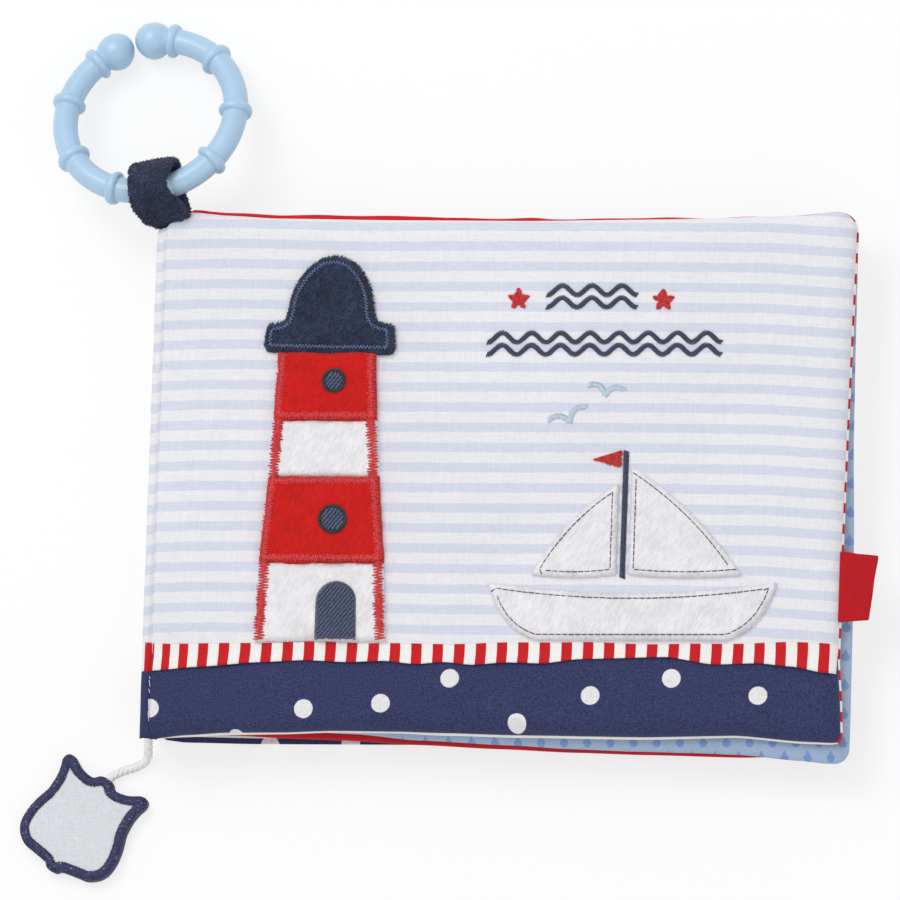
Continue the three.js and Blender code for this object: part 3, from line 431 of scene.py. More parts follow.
def moulded_plastic():
    skin = Surface("ring_plastic", 0.34, 0.0, 0.5)
    for name, value in (
        ("Subsurface Weight", 0.05), ("Subsurface Radius", (0.004, 0.004, 0.005)),
        ("Subsurface Scale", 0.6), ("Coat Weight", 0.25), ("Coat Roughness", 0.15),
    ):
        skin.set(name, value)
    tone = palette().ring_blue
    lighter = [min(1.0, c * 1.06 + 0.01) for c in tone]
    skin.colour(skin.mix(skin.noise(skin.place, 60, 3), tone, lighter))
    skin.bump(skin.noise(skin.place, 700, 2), 0.00004, 0.25)
    return skin.material


def clear_film():
    skin = Surface("clear_film", 0.12, 0.0, 0.5)
    skin.set("Alpha", 0.3)
    ripple = skin.noise(skin.place, 45, 2)
    skin.colour(skin.mix(ripple, (0.9, 0.93, 0.95), (0.98, 0.99, 1.0)))
    skin.bump(ripple, 0.0004, 0.3)
    return skin.material


MATERIALS = {}


def finish_of(name):
    """The shared material of a name, made on its first use."""
    if name in MATERIALS:
        return MATERIALS[name]
    tones = palette()
    cottons = {
        "plain_navy": ("plain_navy_cotton", tones.navy_cotton),
        "leaf_red": ("red_cotton", tones.leaf_red),
        "back_lining": ("inner_cotton", tones.stripe_white),
        "tab": ("woven_satin", tones.tab_red),
        "badge_face": ("badge_satin", tones.badge_grey),
        "badge_back": ("badge_backing", tones.badge_navy),
    }
    piles = {
        "navy_plush": (tones.navy_plush, 0.22, 0.25, 0.9),
        "red_plush": (tones.red_plush, 0.075, 0.3, 1.25),
        "white_plush": (tones.white_plush, 0.055, 0.3, 1.1),
    }
    threads = {
        "slate_thread": ("slate_thread", tones.slate_thread, 0.35),
        "navy_thread": ("navy_thread", tones.navy_thread, 0.3),
        "pale_thread": ("pale_thread", tones.pale_thread, 0.12),
        "red_thread": ("red_thread", tones.red_thread, 0.25),
        "steel_thread": ("steel_thread", tones.steel_thread, 0.3),
        "ink_thread": ("ink_thread", tones.ink_thread, 0.3),
        "rose_thread": ("rose_thread", tones.rose_thread, 0.4),
        "white_thread": ("white_thread", tones.dot_white, 0.08),
        "dome_thread": ("dome_thread", [c * 0.95 for c in tones.steel_thread], 0.3),
        "cord": ("braided_cotton", tones.cord_white, 0.08),
        "badge_border": ("badge_border_thread", tones.badge_navy, 0.3, 0.45),
    }
    prints = {
        "striped": striped_cotton,
        "ribbon": ribbon_cotton,
        "lining": lining_cotton,
        "front_dots": lambda: dotted_cotton(FRONT_DOTS, "front_dotted_cotton"),
        "back_dots": lambda: dotted_cotton(BACK_DOTS, "back_dotted_cotton"),
        "drops": drop_cotton,
        "ring": moulded_plastic,
        "film": clear_film,
    }
    if name in cottons:
        made = plain_cotton(*cottons[name])
    elif name in piles:
        made = plush(name, *piles[name])
    elif name in threads:
        made = thread(*threads[name])
    else:
        made = prints[name]()
    MATERIALS[name] = made
    return made


def settle(name, bm, finish, body, nodes=()):
    """Makes a finished piece from a mesh drawn in millimetres, and puts it on its body."""
    bmesh.ops.scale(bm, vec=(MM, MM, MM), verts=bm.verts)
    for face in bm.faces:
        face.smooth = True
    mesh = bpy.data.meshes.new(name)
    bm.to_mesh(mesh)
    bm.free()
    piece = bpy.data.objects.new(name, mesh)
    bpy.context.scene.collection.objects.link(piece)
    mesh.materials.append(finish_of(finish))
    if body:
        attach(piece, body)
    if nodes:
        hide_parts(*nodes)
    return piece


def between(pairs):
    """A smooth function through measured pairs."""
    def value(at):
        if at <= pairs[0][0]:
            return pairs[0][1]
        for (x0, y0), (x1, y1) in zip(pairs, pairs[1:]):
            if at <= x1:
                share = (at - x0) / (x1 - x0)
                share = share * share * (3 - 2 * share) * 0.5 + share * 0.5
                return y0 + (y1 - y0) * share
        return pairs[-1][1]
    return value


def side_of(measured):
    """One side of a plan: its measured places, or one place all along."""
    return between(measured) if isinstance(measured, list) else (lambda at: measured)


def corners_of(head_right, tail_right, head_left, tail_left):
    """The corners of a plan: one size for a rounded corner, two for a slanted one."""
    places = ((1, 1), (1, -1), (-1, 1), (-1, -1))
    return {
        place: (*size, "slant") if isinstance(size, tuple) else (size, size, "round")
        for place, size in zip(places, (head_right, tail_right, head_left, tail_left))
    }


class Outline:
    """A four-sided plan with measured sides and rounded or slanted corners, in millimetres."""

    def __init__(self, left, right, bottom, top, corners, rolls):
        self.left, self.right = side_of(left), side_of(right)
        self.bottom, self.top = side_of(bottom), side_of(top)
        self.width = self.right(0) - self.left(0)
        self.middle = (self.right(0) + self.left(0)) / 2
        self.height = self.top(self.middle) - self.bottom(self.middle)
        self.corners = corners
        self.rolls = rolls

    def plan(self, across, up):
        """The place of a point of the nominal rectangle."""
        for (side, end), (reach_x, reach_y, kind) in self.corners.items():
            u = (across - self.width if side > 0 else -across) / reach_x + 1
            v = (up - self.height if end > 0 else -up) / reach_y + 1
            if u > 0 and v > 0:
                most = max(u, v)
                keep = most / (math.hypot(u, v) if kind == "round" else u + v)
                across += side * (u * keep - u) * reach_x
                up += end * (v * keep - v) * reach_y
        share = up / self.height
        x0 = self.left(0) + (self.right(0) - self.left(0)) * across / self.width
        y = self.bottom(x0) + (self.top(x0) - self.bottom(x0)) * share
        x = self.left(y) + (self.right(y) - self.left(y)) * across / self.width
        return x, y

    def rise(self, across, up):
        """How full the pad is at a nominal point: 0 at the seam, 1 on the flat."""
        left, right, bottom, top = self.rolls
        full = 1.0
        for gap, roll in (
            (across, left), (self.width - across, right), (up, bottom), (self.height - up, top)
        ):
            if gap < roll:
                full *= math.sqrt(max(0.0, 1 - (1 - max(0.0, gap) / roll) ** 2))
        return full

    def rise_at(self, x, y):
        """The same at a place of the plan, away from the corners."""
        across = (x - self.left(y)) / (self.right(y) - self.left(y)) * self.width
        share = (y - self.bottom(x)) / (self.top(x) - self.bottom(x))
        return self.rise(across, share * self.height)


ROLL_ROWS = 8


def spacing(length, near, far, step):
    """Places of the rows across a pad: close over the rolled edges, even between them."""
    curve = [1 - math.cos(k / ROLL_ROWS * math.pi / 2) for k in range(ROLL_ROWS + 1)]
    start = [near * share for share in curve]
    end = [length - far * share for share in reversed(curve)]
    count = max(2, round((end[0] - start[-1]) / step))
    gap = (end[0] - start[-1]) / count
    return start + [start[-1] + gap * k for k in range(1, count)] + end


def pillow(outline, low, seam, high, step, above=None, below=None):
    """A closed pad between its low and high faces, joined along its seam."""
    bm = bmesh.new()
    left, right, bottom, top = outline.rolls
    columns = spacing(outline.width, left, right, step)
    rows = spacing(outline.height, bottom, top, step)
    for side, depth, relief in ((1, high - seam, above), (-1, low - seam, below)):
        made = bmesh.ops.create_grid(
            bm, x_segments=len(columns) - 1, y_segments=len(rows) - 1, size=1
        )
        for vert in made["verts"]:
            across = columns[round((vert.co.x + 1) / 2 * (len(columns) - 1))]
            up = rows[round((vert.co.y + 1) / 2 * (len(rows) - 1))]
            x, y = outline.plan(across, up)
            full = outline.rise(across, up)
            z = seam + depth * full
            if relief:
                z += relief(x, y) * full
            vert.co = (x, y, z)
        if side < 0:
            faces = {face for vert in made["verts"] for face in vert.link_faces}
            bmesh.ops.reverse_faces(bm, faces=list(faces))
    bmesh.ops.remove_doubles(bm, verts=bm.verts, dist=1e-4)
    return bm


def slice_of(bm, low, high):
    """The closed part of a pad between two levels along Y."""
    part = bm.copy()
    for level, normal in ((low, (0, -1, 0)), (high, (0, 1, 0))):
        if level is None:
            continue
        geometry = part.verts[:] + part.edges[:] + part.faces[:]
        cut = bmesh.ops.bisect_plane(
            part, geom=geometry, plane_co=(0, level, 0), plane_no=normal, clear_outer=True
        )
        rim = [item for item in cut["geom_cut"] if isinstance(item, bmesh.types.BMEdge)]
        bmesh.ops.holes_fill(part, edges=rim, sides=0)
    return part


SLIT = 0.02


def cut_cloths(pad, body, joints, cloths):
    """Cuts a pad across at its joints, from head to tail, and makes each part a piece of its own
    cloth."""
    lows = (*joints, None)
    highs = (None, *(joint - SLIT for joint in joints))
    for low, high, (name, finish, slot, nodes) in zip(lows, highs, cloths):
        piece = settle(name, slice_of(pad, low, high), finish, body, nodes)
    pad.free()


def soft_noise(x, y, scale, seed=0.0):
    return noise.noise(Vector((x / scale, y / scale, seed)))


FRONT_BOTTOM = [
    (-100.5, -74.3), (-87.4, -72.8), (-76.0, -72.1), (-60.6, -72.0), (-46.1, -71.5),
    (-27.5, -71.7), (-15.0, -72.1), (6.5, -72.7), (42.1, -73.2), (68.1, -72.7), (87.8, -74.4),
    (96.1, -74.7), (100.5, -74.4),
]
FRONT_TOP = [
    (-97, 76.9), (-91.4, 76.7), (-80, 75.7), (-66.8, 74.9), (-30.8, 74.35), (5.2, 74.1),
    (43.4, 74.5), (82.2, 75.5), (92.4, 76.7), (97.5, 76.6), (101, 76.0),
]
FRONT_RIGHT = [
    (-76, 99.0), (-65, 98.5), (-51, 97.4), (-40, 97.5), (-17, 97.5), (14, 97.9), (40, 98.3),
    (68, 98.9), (75, 98.9),
]


def front_outline():
    corners = corners_of(5.8, 2.6, (6.4, 4.4), 1.2)
    return Outline(-98.1, FRONT_RIGHT, FRONT_BOTTOM, FRONT_TOP, corners, (1.0, 6.0, 5.0, 6.0))


BAND_CREASES = [
    ((-22, -58.5), (18, -72), 2.2, 0.6), ((-14, -54), (-3, -69), 1.6, 0.55),
    ((30, -56), (52, -70), 2.6, 0.5), ((-66, -56), (-48, -71), 3.0, 0.45),
    ((62, -71), (84, -60), 2.4, 0.45), ((4, -56), (40, -62), 2.8, -0.4),
    ((-9, -66), (22, -71), 1.4, 0.45), ((70, -55), (92, -70), 2.6, -0.4),
    ((44, -66), (62, -72), 1.8, 0.45), ((-44, -70), (-26, -66), 1.8, 0.35),
]


def crease_relief(x, y):
    total = 0.0
    for (x0, y0), (x1, y1), width, height in BAND_CREASES:
        length = math.hypot(x1 - x0, y1 - y0)
        along = ((x - x0) * (x1 - x0) + (y - y0) * (y1 - y0)) / length
        off = ((x - x0) * (y1 - y0) - (y - y0) * (x1 - x0)) / length
        fade = max(0.0, min(1.0, along / 6, (length - along) / 6))
        total += height * fade * math.exp(-((off / width) ** 2))
    return total


def front_relief(x, y):
    """The front cover's soft unevenness: broad swells, and a dip along its ribbon."""
    swell = 0.32 * soft_noise(x, y, 42, 3.1) + 0.17 * soft_noise(x, y, 15, 7.7)
    swell += 0.05 * soft_noise(x, y * 0.6, 6, 2.3)
    dip = -0.45 * math.exp(-(((y + 49.5) / 2.6) ** 2))
    creases = crease_relief(x, y) if y < -50 else 0.0
    return swell + dip + creases - 0.1


def front_height(outline, x, y):
    """The cloth's height on the front cover."""
    full = outline.rise_at(x, y)
    return FRONT_SEAM + (FACE - FRONT_SEAM) * full + front_relief(x, y) * full


LINING_SPILL = between([
    (-97, 1.2), (-80, 0.9), (-67, 1.15), (-46, 1.3), (-25, 1.3), (-18, 0.85), (0, 0.8), (6, 1.0),
    (11, 0.6), (25, 0.5), (36, 0.65), (44, 0.6), (52, 0.3), (60, 0.15), (100, 0.1),
])
RIBBON_EDGE = between([
    (-100, -55.2), (-97.6, -55.1), (-84, -54.0), (-66, -52.6), (-54, -52.0), (-41, -52.6),
    (-31, -52.2), (-22, -53.1), (-14, -52.5), (-6, -53.3), (4, -52.6), (14, -52.9), (25, -51.6),
    (49, -51.0), (63, -53.1), (75, -52.7), (85, -53.7), (94, -55.4), (101, -55.5),
])


class ALBUM_OT_front_cover(bpy.types.Operator):
    """Front cover: a striped panel and a dotted band, a lining that shows at its edges, and a
    loose ribbon over their joint"""

    bl_idname = "album.front_cover"
    bl_label = "Front cover"

    def execute(self, context):
        outline = front_outline()
        pad = pillow(outline, 17.0, FRONT_SEAM, FACE, sizes().cloth_step, front_relief)
        cut_cloths(pad, "front_cover", (-50,), (
            ("front_panel", "striped", "stripe", ("front_striped_panel", "front_wadding")),
            ("front_band", "front_dots", "navy_dot", ("front_dotted_band",)),
        ))
        self.lay_lining()
        self.lay_ribbon(outline)
        self.lay_fold()
        return {"FINISHED"}

    def lay_lining(self):
        """The lining spills a little past the cover at its head, tail and fore edge."""
        tail = [
            (x, max(y - 0.45 - 0.12 * math.sin(x / 3.1), -73.9 if x < -80 else -76))
            for x, y in FRONT_BOTTOM
        ]
        head = [
            (x, between(FRONT_TOP)(x) + LINING_SPILL(x) + 0.12 * math.sin(x / 3.2))
            for x in range(-97, 101, 3)
        ]
        right = [(y, x + 0.5) for y, x in FRONT_RIGHT]
        corners = corners_of(5.8, 2.8, (6.4, 4.4), 1.2)
        outline = Outline(-96.7, right, tail, head, corners, (1.2, 1.6, 1.4, 1.4))
        lining = settle(
            "front_lining_pad", pillow(outline, 16.0, 17.0, 17.9, 2.4), "lining", "front_cover",
            ("front_lining",),
        )

    def lay_fold(self):
        """The cover's cloth carries on over the spine's edge, past a sewn crease."""
        bm = bmesh.new()
        rows, columns, lip = 96, 10, 7
        tail, head, outside, inside = -74.1, 70.7, -100.35, -95.6
        made = bmesh.ops.create_grid(bm, x_segments=columns, y_segments=rows, size=1)
        for vert in made["verts"]:
            s = (vert.co.x + 1) / 2
            t = (vert.co.y + 1) / 2
            y = tail + (head + 1.9 * s - tail) * t
            crease = -98.1 + 0.8 * t + 0.14 * soft_noise(y, 0, 11, 9.1)
            sway = 0.14 * soft_noise(y, 0, 9, 4.4)
            at = s * columns
            if at <= lip:
                x = 1 - math.cos(at / lip * math.pi / 2) ** 1.3
                x = outside + (crease - outside) * x
                left = max(0.0, min(1.0, (x - outside) / max(0.1, crease - outside)))
                z = 20.2 + 1.1 * math.sin(min(1.0, left * 1.15) * math.pi * 0.62) ** 0.6
                z -= 0.55 * max(0.0, left - 0.72) / 0.28
            else:
                x = crease + (inside - crease) * (at - lip) / (columns - lip)
                z = (20.1, 19.5, 18.9)[round(at) - lip - 1]
            end = min(1.0, t * rows / 3, (1 - t) * rows / 3)
            vert.co = (x + sway * (1 - s), y, z - 0.8 * (1 - end) + sway * 0.4)
        bmesh.ops.solidify(bm, geom=bm.faces[:], thickness=0.35)
        bmesh.ops.recalc_face_normals(bm, faces=bm.faces)
        cut_cloths(bm, "front_cover", (-47.0, -55.2), (
            ("front_fold_striped", "striped", "stripe", ()),
            ("front_fold_ribbon", "ribbon", "ribbon", ()),
            ("front_fold_dotted", "plain_navy", "navy_dot", ()),
        ))
        bm = bmesh.new()
        for start, end in ((-56.6, -57.3), (-57.6, -59.6), (-60.2, -61.4), (-66.6, -69.4)):
            add_stitch(bm, (-97.9, start), (-97.6, end), 0.13, 20.95, 0.05)
        settle("fold_stitches", bm, "white_thread", "front_cover")

    def lay_ribbon(self, outline):
        """The ribbon is sewn along its head and curls up along its free edge."""
        bm = bmesh.new()
        start = -97.9
        made = bmesh.ops.create_grid(bm, x_segments=240, y_segments=8, size=1)
        for vert in made["verts"]:
            s = (vert.co.x + 1) / 2
            t = (1 - vert.co.y) / 2
            x = start + (outline.right(-50) - 0.1 - start) * s
            top = -47.0 + 0.25 * math.sin(x / 11) + 0.12 * math.sin(x / 4.3 + 1)
            y = top + (RIBBON_EDGE(x) - top) * t
            curl = 0.18 + 0.62 * t ** 1.5 + 0.16 * t * math.sin(x / 6.5 + 0.6)
            vert.co = (x, y, front_height(outline, x, y) + curl)
        bmesh.ops.solidify(bm, geom=bm.faces[:], thickness=0.3)
        bmesh.ops.recalc_face_normals(bm, faces=bm.faces)
        ribbon = settle(
            "front_ribbon", bm, "ribbon", "front_cover", ("front_striped_ribbon",)
        )


BACK_BOTTOM = [
    (-97, -71.6), (-90, -72.4), (-70, -72.8), (-30, -72.9), (0, -73.2), (50, -73.6), (100, -73.6)
]


class ALBUM_OT_back_cover(bpy.types.Operator):
    """Back cover: the same cloths as the front, and a pale lining towards the pages"""

    bl_idname = "album.back_cover"
    bl_label = "Back cover"

    def execute(self, context):
        corners = corners_of(5.6, 5.6, (5.6, 3.9), 1.2)
        top = [(-97, 74.2), (-60, 73.8), (0, 73.5), (60, 73.8), (100, 74.2)]
        outline = Outline(-96.7, 96.9, BACK_BOTTOM, top, corners, (1.6, 6.0, 6.0, 6.0))
        pad = pillow(outline, 0.1, 3.6, 4.1, 2.2, None, self.relief)
        cut_cloths(pad, "back_cover", (-47.1, -52.9), (
            ("back_panel", "striped", "stripe", ("back_striped_panel", "back_wadding")),
            ("back_ribbon", "ribbon", "ribbon", ("back_striped_ribbon",)),
            ("back_band", "back_dots", "navy_dot", ("back_dotted_band",)),
        ))
        tail = [(x, y + 1.6) for x, y in BACK_BOTTOM]
        head = [(x, y - 1.6) for x, y in top]
        inner = Outline(-96.0, 95.4, tail, head, corners, (1.6, 4.0, 4.0, 4.0))
        lining = settle(
            "back_lining_pad", pillow(inner, 3.4, 4.0, 4.95, 3.0), "back_lining", "back_cover",
            ("back_lining",),
        )
        return {"FINISHED"}

    @staticmethod
    def relief(x, y):
        return 0.12 + 0.12 * soft_noise(x, y, 40, 11.3)


class ALBUM_OT_spine(bpy.types.Operator):
    """Spine: a padded strip in the covers' three cloths"""

    bl_idname = "album.spine"
    bl_label = "Spine"

    def execute(self, context):
        tail = [(0, -69.9), (6, -70.6), (13, -71.8), (18, -73.0), (21, -73.3)]
        corners = corners_of(1.0, 1.0, 1.0, 1.0)
        outline = Outline(0.15, 20.7, tail, 70.6, corners, (2.2, 1.4, 1.0, 1.0))
        pad = pillow(outline, 0.05, 1.2, 3.0, 1.5, self.relief)
        upright = Matrix(((0, 0, -1, -97.05), (0, 1, 0, 0), (1, 0, 0, 0), (0, 0, 0, 1)))
        bmesh.ops.transform(pad, matrix=upright, verts=pad.verts)
        solids = ("spine_striped_panel", "spine_wadding", "spine_lining")
        cut_cloths(pad, "spine", (-47.1, -53.6), (
            ("spine_panel", "striped", "stripe", solids),
            ("spine_ribbon", "ribbon", "ribbon", ("spine_striped_ribbon",)),
            ("spine_band", "front_dots", "navy_dot", ("spine_dotted_band",)),
        ))
        return {"FINISHED"}

    @staticmethod
    def relief(x, y):
        return 0.1 * soft_noise(x, y, 12, 5.0) - 0.1


class ALBUM_OT_leaves(bpy.types.Operator):
    """Two padded leaves, one printed with drops and one plain red"""

    bl_idname = "album.leaves"
    bl_label = "Leaves"

    def execute(self, context):
        right = [
            (-81, 100.7), (-70, 100.7), (-40, 100.5), (-17, 100.1), (14, 99.1), (40, 98.8),
            (75, 98.6),
        ]
        tail = [
            (-93, -69.8), (-60, -70.6), (-40, -71.6), (-23, -73.3), (4, -74.7), (20, -75.7),
            (39, -76.4), (56, -76.8), (69, -77.3), (85, -78.9), (94, -79.8), (103, -79.9),
        ]
        self.add("upper_leaf", right, tail, 72.4, 13.0, "drops", "drops", 1.1)
        tail = [
            (-93, -70.4), (-75, -71.2), (-60, -72.0), (-45, -72.5), (-22, -73.8), (0, -74.9),
            (22, -75.9), (42, -76.5), (70, -77.2), (101, -76.0),
        ]
        self.add("lower_leaf", 97.2, tail, 71.9, 8.0, "leaf_red", "red", 4.2)
        return {"FINISHED"}

    def add(self, name, right, tail, head, seam, finish, slot, seed):
        """A leaf, and the strip that joins it to the spine."""
        def relief(x, y):
            return 0.12 * soft_noise(x, y, 38, seed) - 0.06

        corners = corners_of(4.6, 4.2, (16.0, 10.5), 1.2)
        outline = Outline(-92.7, right, tail, head, corners, (4, 4.5, 4.5, 4.5))
        bm = pillow(outline, seam - HALF_LEAF, seam, seam + HALF_LEAF, 2.2, relief, relief)
        strip = bmesh.ops.create_cube(bm, size=1)
        for vert in strip["verts"]:
            vert.co = (
                -94.3 + 4.4 * vert.co.x, 130.5 * vert.co.y - 4.25, seam + 0.76 * vert.co.z
            )
        nodes = (f"{name}_front_cloth", f"{name}_back_cloth", f"{name}_wadding")
        piece = settle(f"{name}_pad", bm, finish, name, nodes)


def offset_path(points, distance, closed=True):
    """A path beside another, to its left."""
    moved = []
    count = len(points)
    for k, point in enumerate(points):
        before = points[(k - 1) % count] if closed or k else point
        after = points[(k + 1) % count] if closed or k < count - 1 else point
        along = (Vector(after) - Vector(before)).normalized()
        moved.append((point[0] - along.y * distance, point[1] + along.x * distance))
    return moved


def even_path(points, step, closed=False):
    """Points at even distances along a path, with the direction at each."""
    line = [Vector(p) for p in points] + ([Vector(points[0])] if closed else [])
    lengths = [0.0]
    for a, b in zip(line, line[1:]):
        lengths.append(lengths[-1] + (b - a).length)
    count = max(2, round(lengths[-1] / step))
    places = []
    k = 0
    for n in range(count + (0 if closed else 1)):
        at = lengths[-1] * n / count
        while k < len(line) - 2 and lengths[k + 1] < at:
            k += 1
        span = lengths[k + 1] - lengths[k] or 1.0
        share = (at - lengths[k]) / span
        places.append((line[k].lerp(line[k + 1], share), (line[k + 1] - line[k]).normalized()))
    return places


def add_stitch(bm, start, end, radius, height, arch=0.12):
    """One thread lying from point to point: a slim closed spindle."""
    a = Vector((start[0], start[1], height))
    b = Vector((end[0], end[1], height))
    along = b - a
    length = along.length
    if length < 1e-4:
        return
    made = bmesh.ops.create_cone(
        bm, cap_ends=True, segments=6, radius1=radius * 0.8, radius2=radius * 0.8, depth=length,
        matrix=Matrix.Translation((a + b) / 2) @ along.to_track_quat("Z", "Y").to_matrix().to_4x4(),
    )
    for vert in made["verts"]:
        share = (vert.co - a).dot(along) / (length * length)
        vert.co.z += -arch if share < 0.5 else arch * 0.2


def zigzag(bm, points, width, pitch, radius, height, chance, closed=False, wander=0.2):
    """Threads to and fro across a path."""
    side = 1
    last = None
    for point, along in even_path(points, pitch, closed):
        across = Vector((-along.y, along.x))
        reach = side * width / 2 * (1 + wander * (chance.random() - 0.5) * 2)
        spot = point + across * reach + along * pitch * (chance.random() - 0.5) * 0.5
        if last is not None:
            add_stitch(bm, last, spot, radius, height(spot.x, spot.y), 0.05)
        last = spot
        side = -side


def running_stitch(bm, points, length, gap, radius, height, closed=False):
    """Separate stitches along a path."""
    for point, along in even_path(points, length + gap, closed):
        end = point + along * length
        middle = (point + end) / 2
        add_stitch(bm, point, end, radius, height(middle.x, middle.y), 0.08)


def satin(bm, points, width, pitch, radius, height, chance, lean=0.6, closed=False):
    """Slanting threads side by side along a path."""
    for point, along in even_path(points, pitch, closed):
        across = (Vector((-along.y, along.x)) + along * lean).normalized()
        reach = width / 2 * (1 + 0.14 * (chance.random() - 0.5))
        a = point - across * reach
        b = point + across * reach
        add_stitch(bm, a, b, radius, height(point.x, point.y), 0.1)


def spread_mesh(bm, points, step):
    """A flat patch inside a closed outline, with points all over it."""
    verts = [bm.verts.new((x, y, 0)) for x, y in points]
    count = len(verts)
    edges = [bm.edges.new((verts[k], verts[(k + 1) % count])) for k in range(count)]
    bmesh.ops.triangle_fill(bm, use_beauty=True, edges=edges, normal=(0, 0, 1))
    for _ in range(8):
        rim = {edge for edge in bm.edges if edge.is_boundary}
        long_ones = [e for e in bm.edges if e not in rim and e.calc_length() > step * 1.4]
        if not long_ones:
            break
        bmesh.ops.subdivide_edges(bm, edges=long_ones, cuts=1)
        bmesh.ops.triangulate(bm, faces=bm.faces[:])
        free = [edge for edge in bm.edges if not edge.is_boundary]
        bmesh.ops.beautify_fill(bm, faces=bm.faces[:], edges=free)
    for _ in range(3):
        inner = [vert for vert in bm.verts if not vert.is_boundary]
        bmesh.ops.smooth_vert(bm, verts=inner, factor=0.5, use_axis_x=True, use_axis_y=True)
    for face in bm.faces:
        if face.normal.z < 0:
            face.normal_flip()


def sort_faces(bm):
    """Puts the faces in the order of their points, which is the same on each run."""
    bm.verts.index_update()
    faces = sorted(bm.faces, key=lambda face: sorted(vert.index for vert in face.verts))
    for k, face in enumerate(faces):
        face.index = k
    bm.faces.sort()


def polygon_pad(points, base, height, roll, relief=None):
    """A sewn-on piece of any outline, with rounded edges, seated on a level."""
    bm = bmesh.new()
    spread_mesh(bm, points, 1.3)
    ring = even_path(points, 0.5, True)
    rim = [edge for edge in bm.edges if edge.is_boundary]
    top = bm.verts[:]
    wall = bmesh.ops.extrude_edge_only(bm, edges=rim)["geom"]
    lowest = [item for item in wall if isinstance(item, bmesh.types.BMVert)]
    edges = [item for item in wall if isinstance(item, bmesh.types.BMEdge) and item.is_boundary]
    for vert in top:
        gap = min((vert.co.xy - spot).length for spot, _ in ring)
        share = min(1.0, gap / roll)
        full = 0.3 + 0.7 * math.sqrt(1 - (1 - share) ** 2)
        lump = relief(vert.co.x, vert.co.y) * share if relief else 0.0
        vert.co.z = base + height * full + lump
    for vert in lowest:
        vert.co.z = base
    bmesh.ops.holes_fill(bm, edges=edges, sides=0)
    bmesh.ops.triangulate(bm, faces=[f for f in bm.faces if len(f.verts) > 4])
    bmesh.ops.recalc_face_normals(bm, faces=bm.faces)
    sort_faces(bm)
    return bm


def plush_relief(x, y):
    """Uneven pile."""
    return 0.16 * soft_noise(x, y, 5, 1.5) + 0.08 * soft_noise(x, y, 2.1, 6.5)


def rounded(points, step=1.0):
    """A closed path with points at an even step."""
    return [tuple(p) for p, _ in even_path(points, step, True)]


def sew(name, bm, finish, nodes=()):
    """Makes a piece that is sewn on the front cover."""
    return settle(name, bm, finish, "front_cover", nodes)


TOWER_X = -49.8
TOWER_LEVELS = [-46.8, -24.2, 0.0, 16.5, 35.7]
TOWER_HALVES = [18.2, 17.5, 15.7, 14.7, 14.1]
TOWER_HALF = between(list(zip(TOWER_LEVELS, TOWER_HALVES)))
TOWER_LEAN = between([(-47, 0.9), (-25, 0.3), (0, 0.0), (17, -0.3), (36, -0.6)])
DOOR_CENTRE = (-45.1, -38.0)


def tower_side(side, low, high, inward=0.0):
    """The tower's edge between two levels, or a path beside it."""
    count = max(2, round((high - low) / 2))
    levels = [low + (high - low) * k / count for k in range(count + 1)]
    return [
        (TOWER_X + side * (TOWER_HALF(level) - inward)
         + (TOWER_LEAN(level) if side > 0 else -0.25), level)
        for level in levels
    ]


DOME = [
    (-66.3, 35.9), (-58, 35.6), (-49, 35.4), (-40, 35.3), (-33.2, 35.2), (-31.6, 36.0),
    (-31.2, 38.0), (-31.4, 41.5), (-31.9, 43.4), (-34.5, 43.8), (-36.6, 44.9), (-37.4, 47.2),
    (-37.7, 50.5), (-38.8, 54.5), (-41.0, 58.6), (-44.0, 61.6), (-47.2, 62.9), (-50.4, 63.0),
    (-53.6, 61.8), (-57.0, 58.9), (-59.8, 54.8), (-61.2, 51.0), (-61.9, 47.2), (-62.7, 44.8),
    (-65.0, 43.9), (-67.4, 43.4), (-68.0, 41.0), (-68.2, 38.0), (-67.6, 36.4),
]


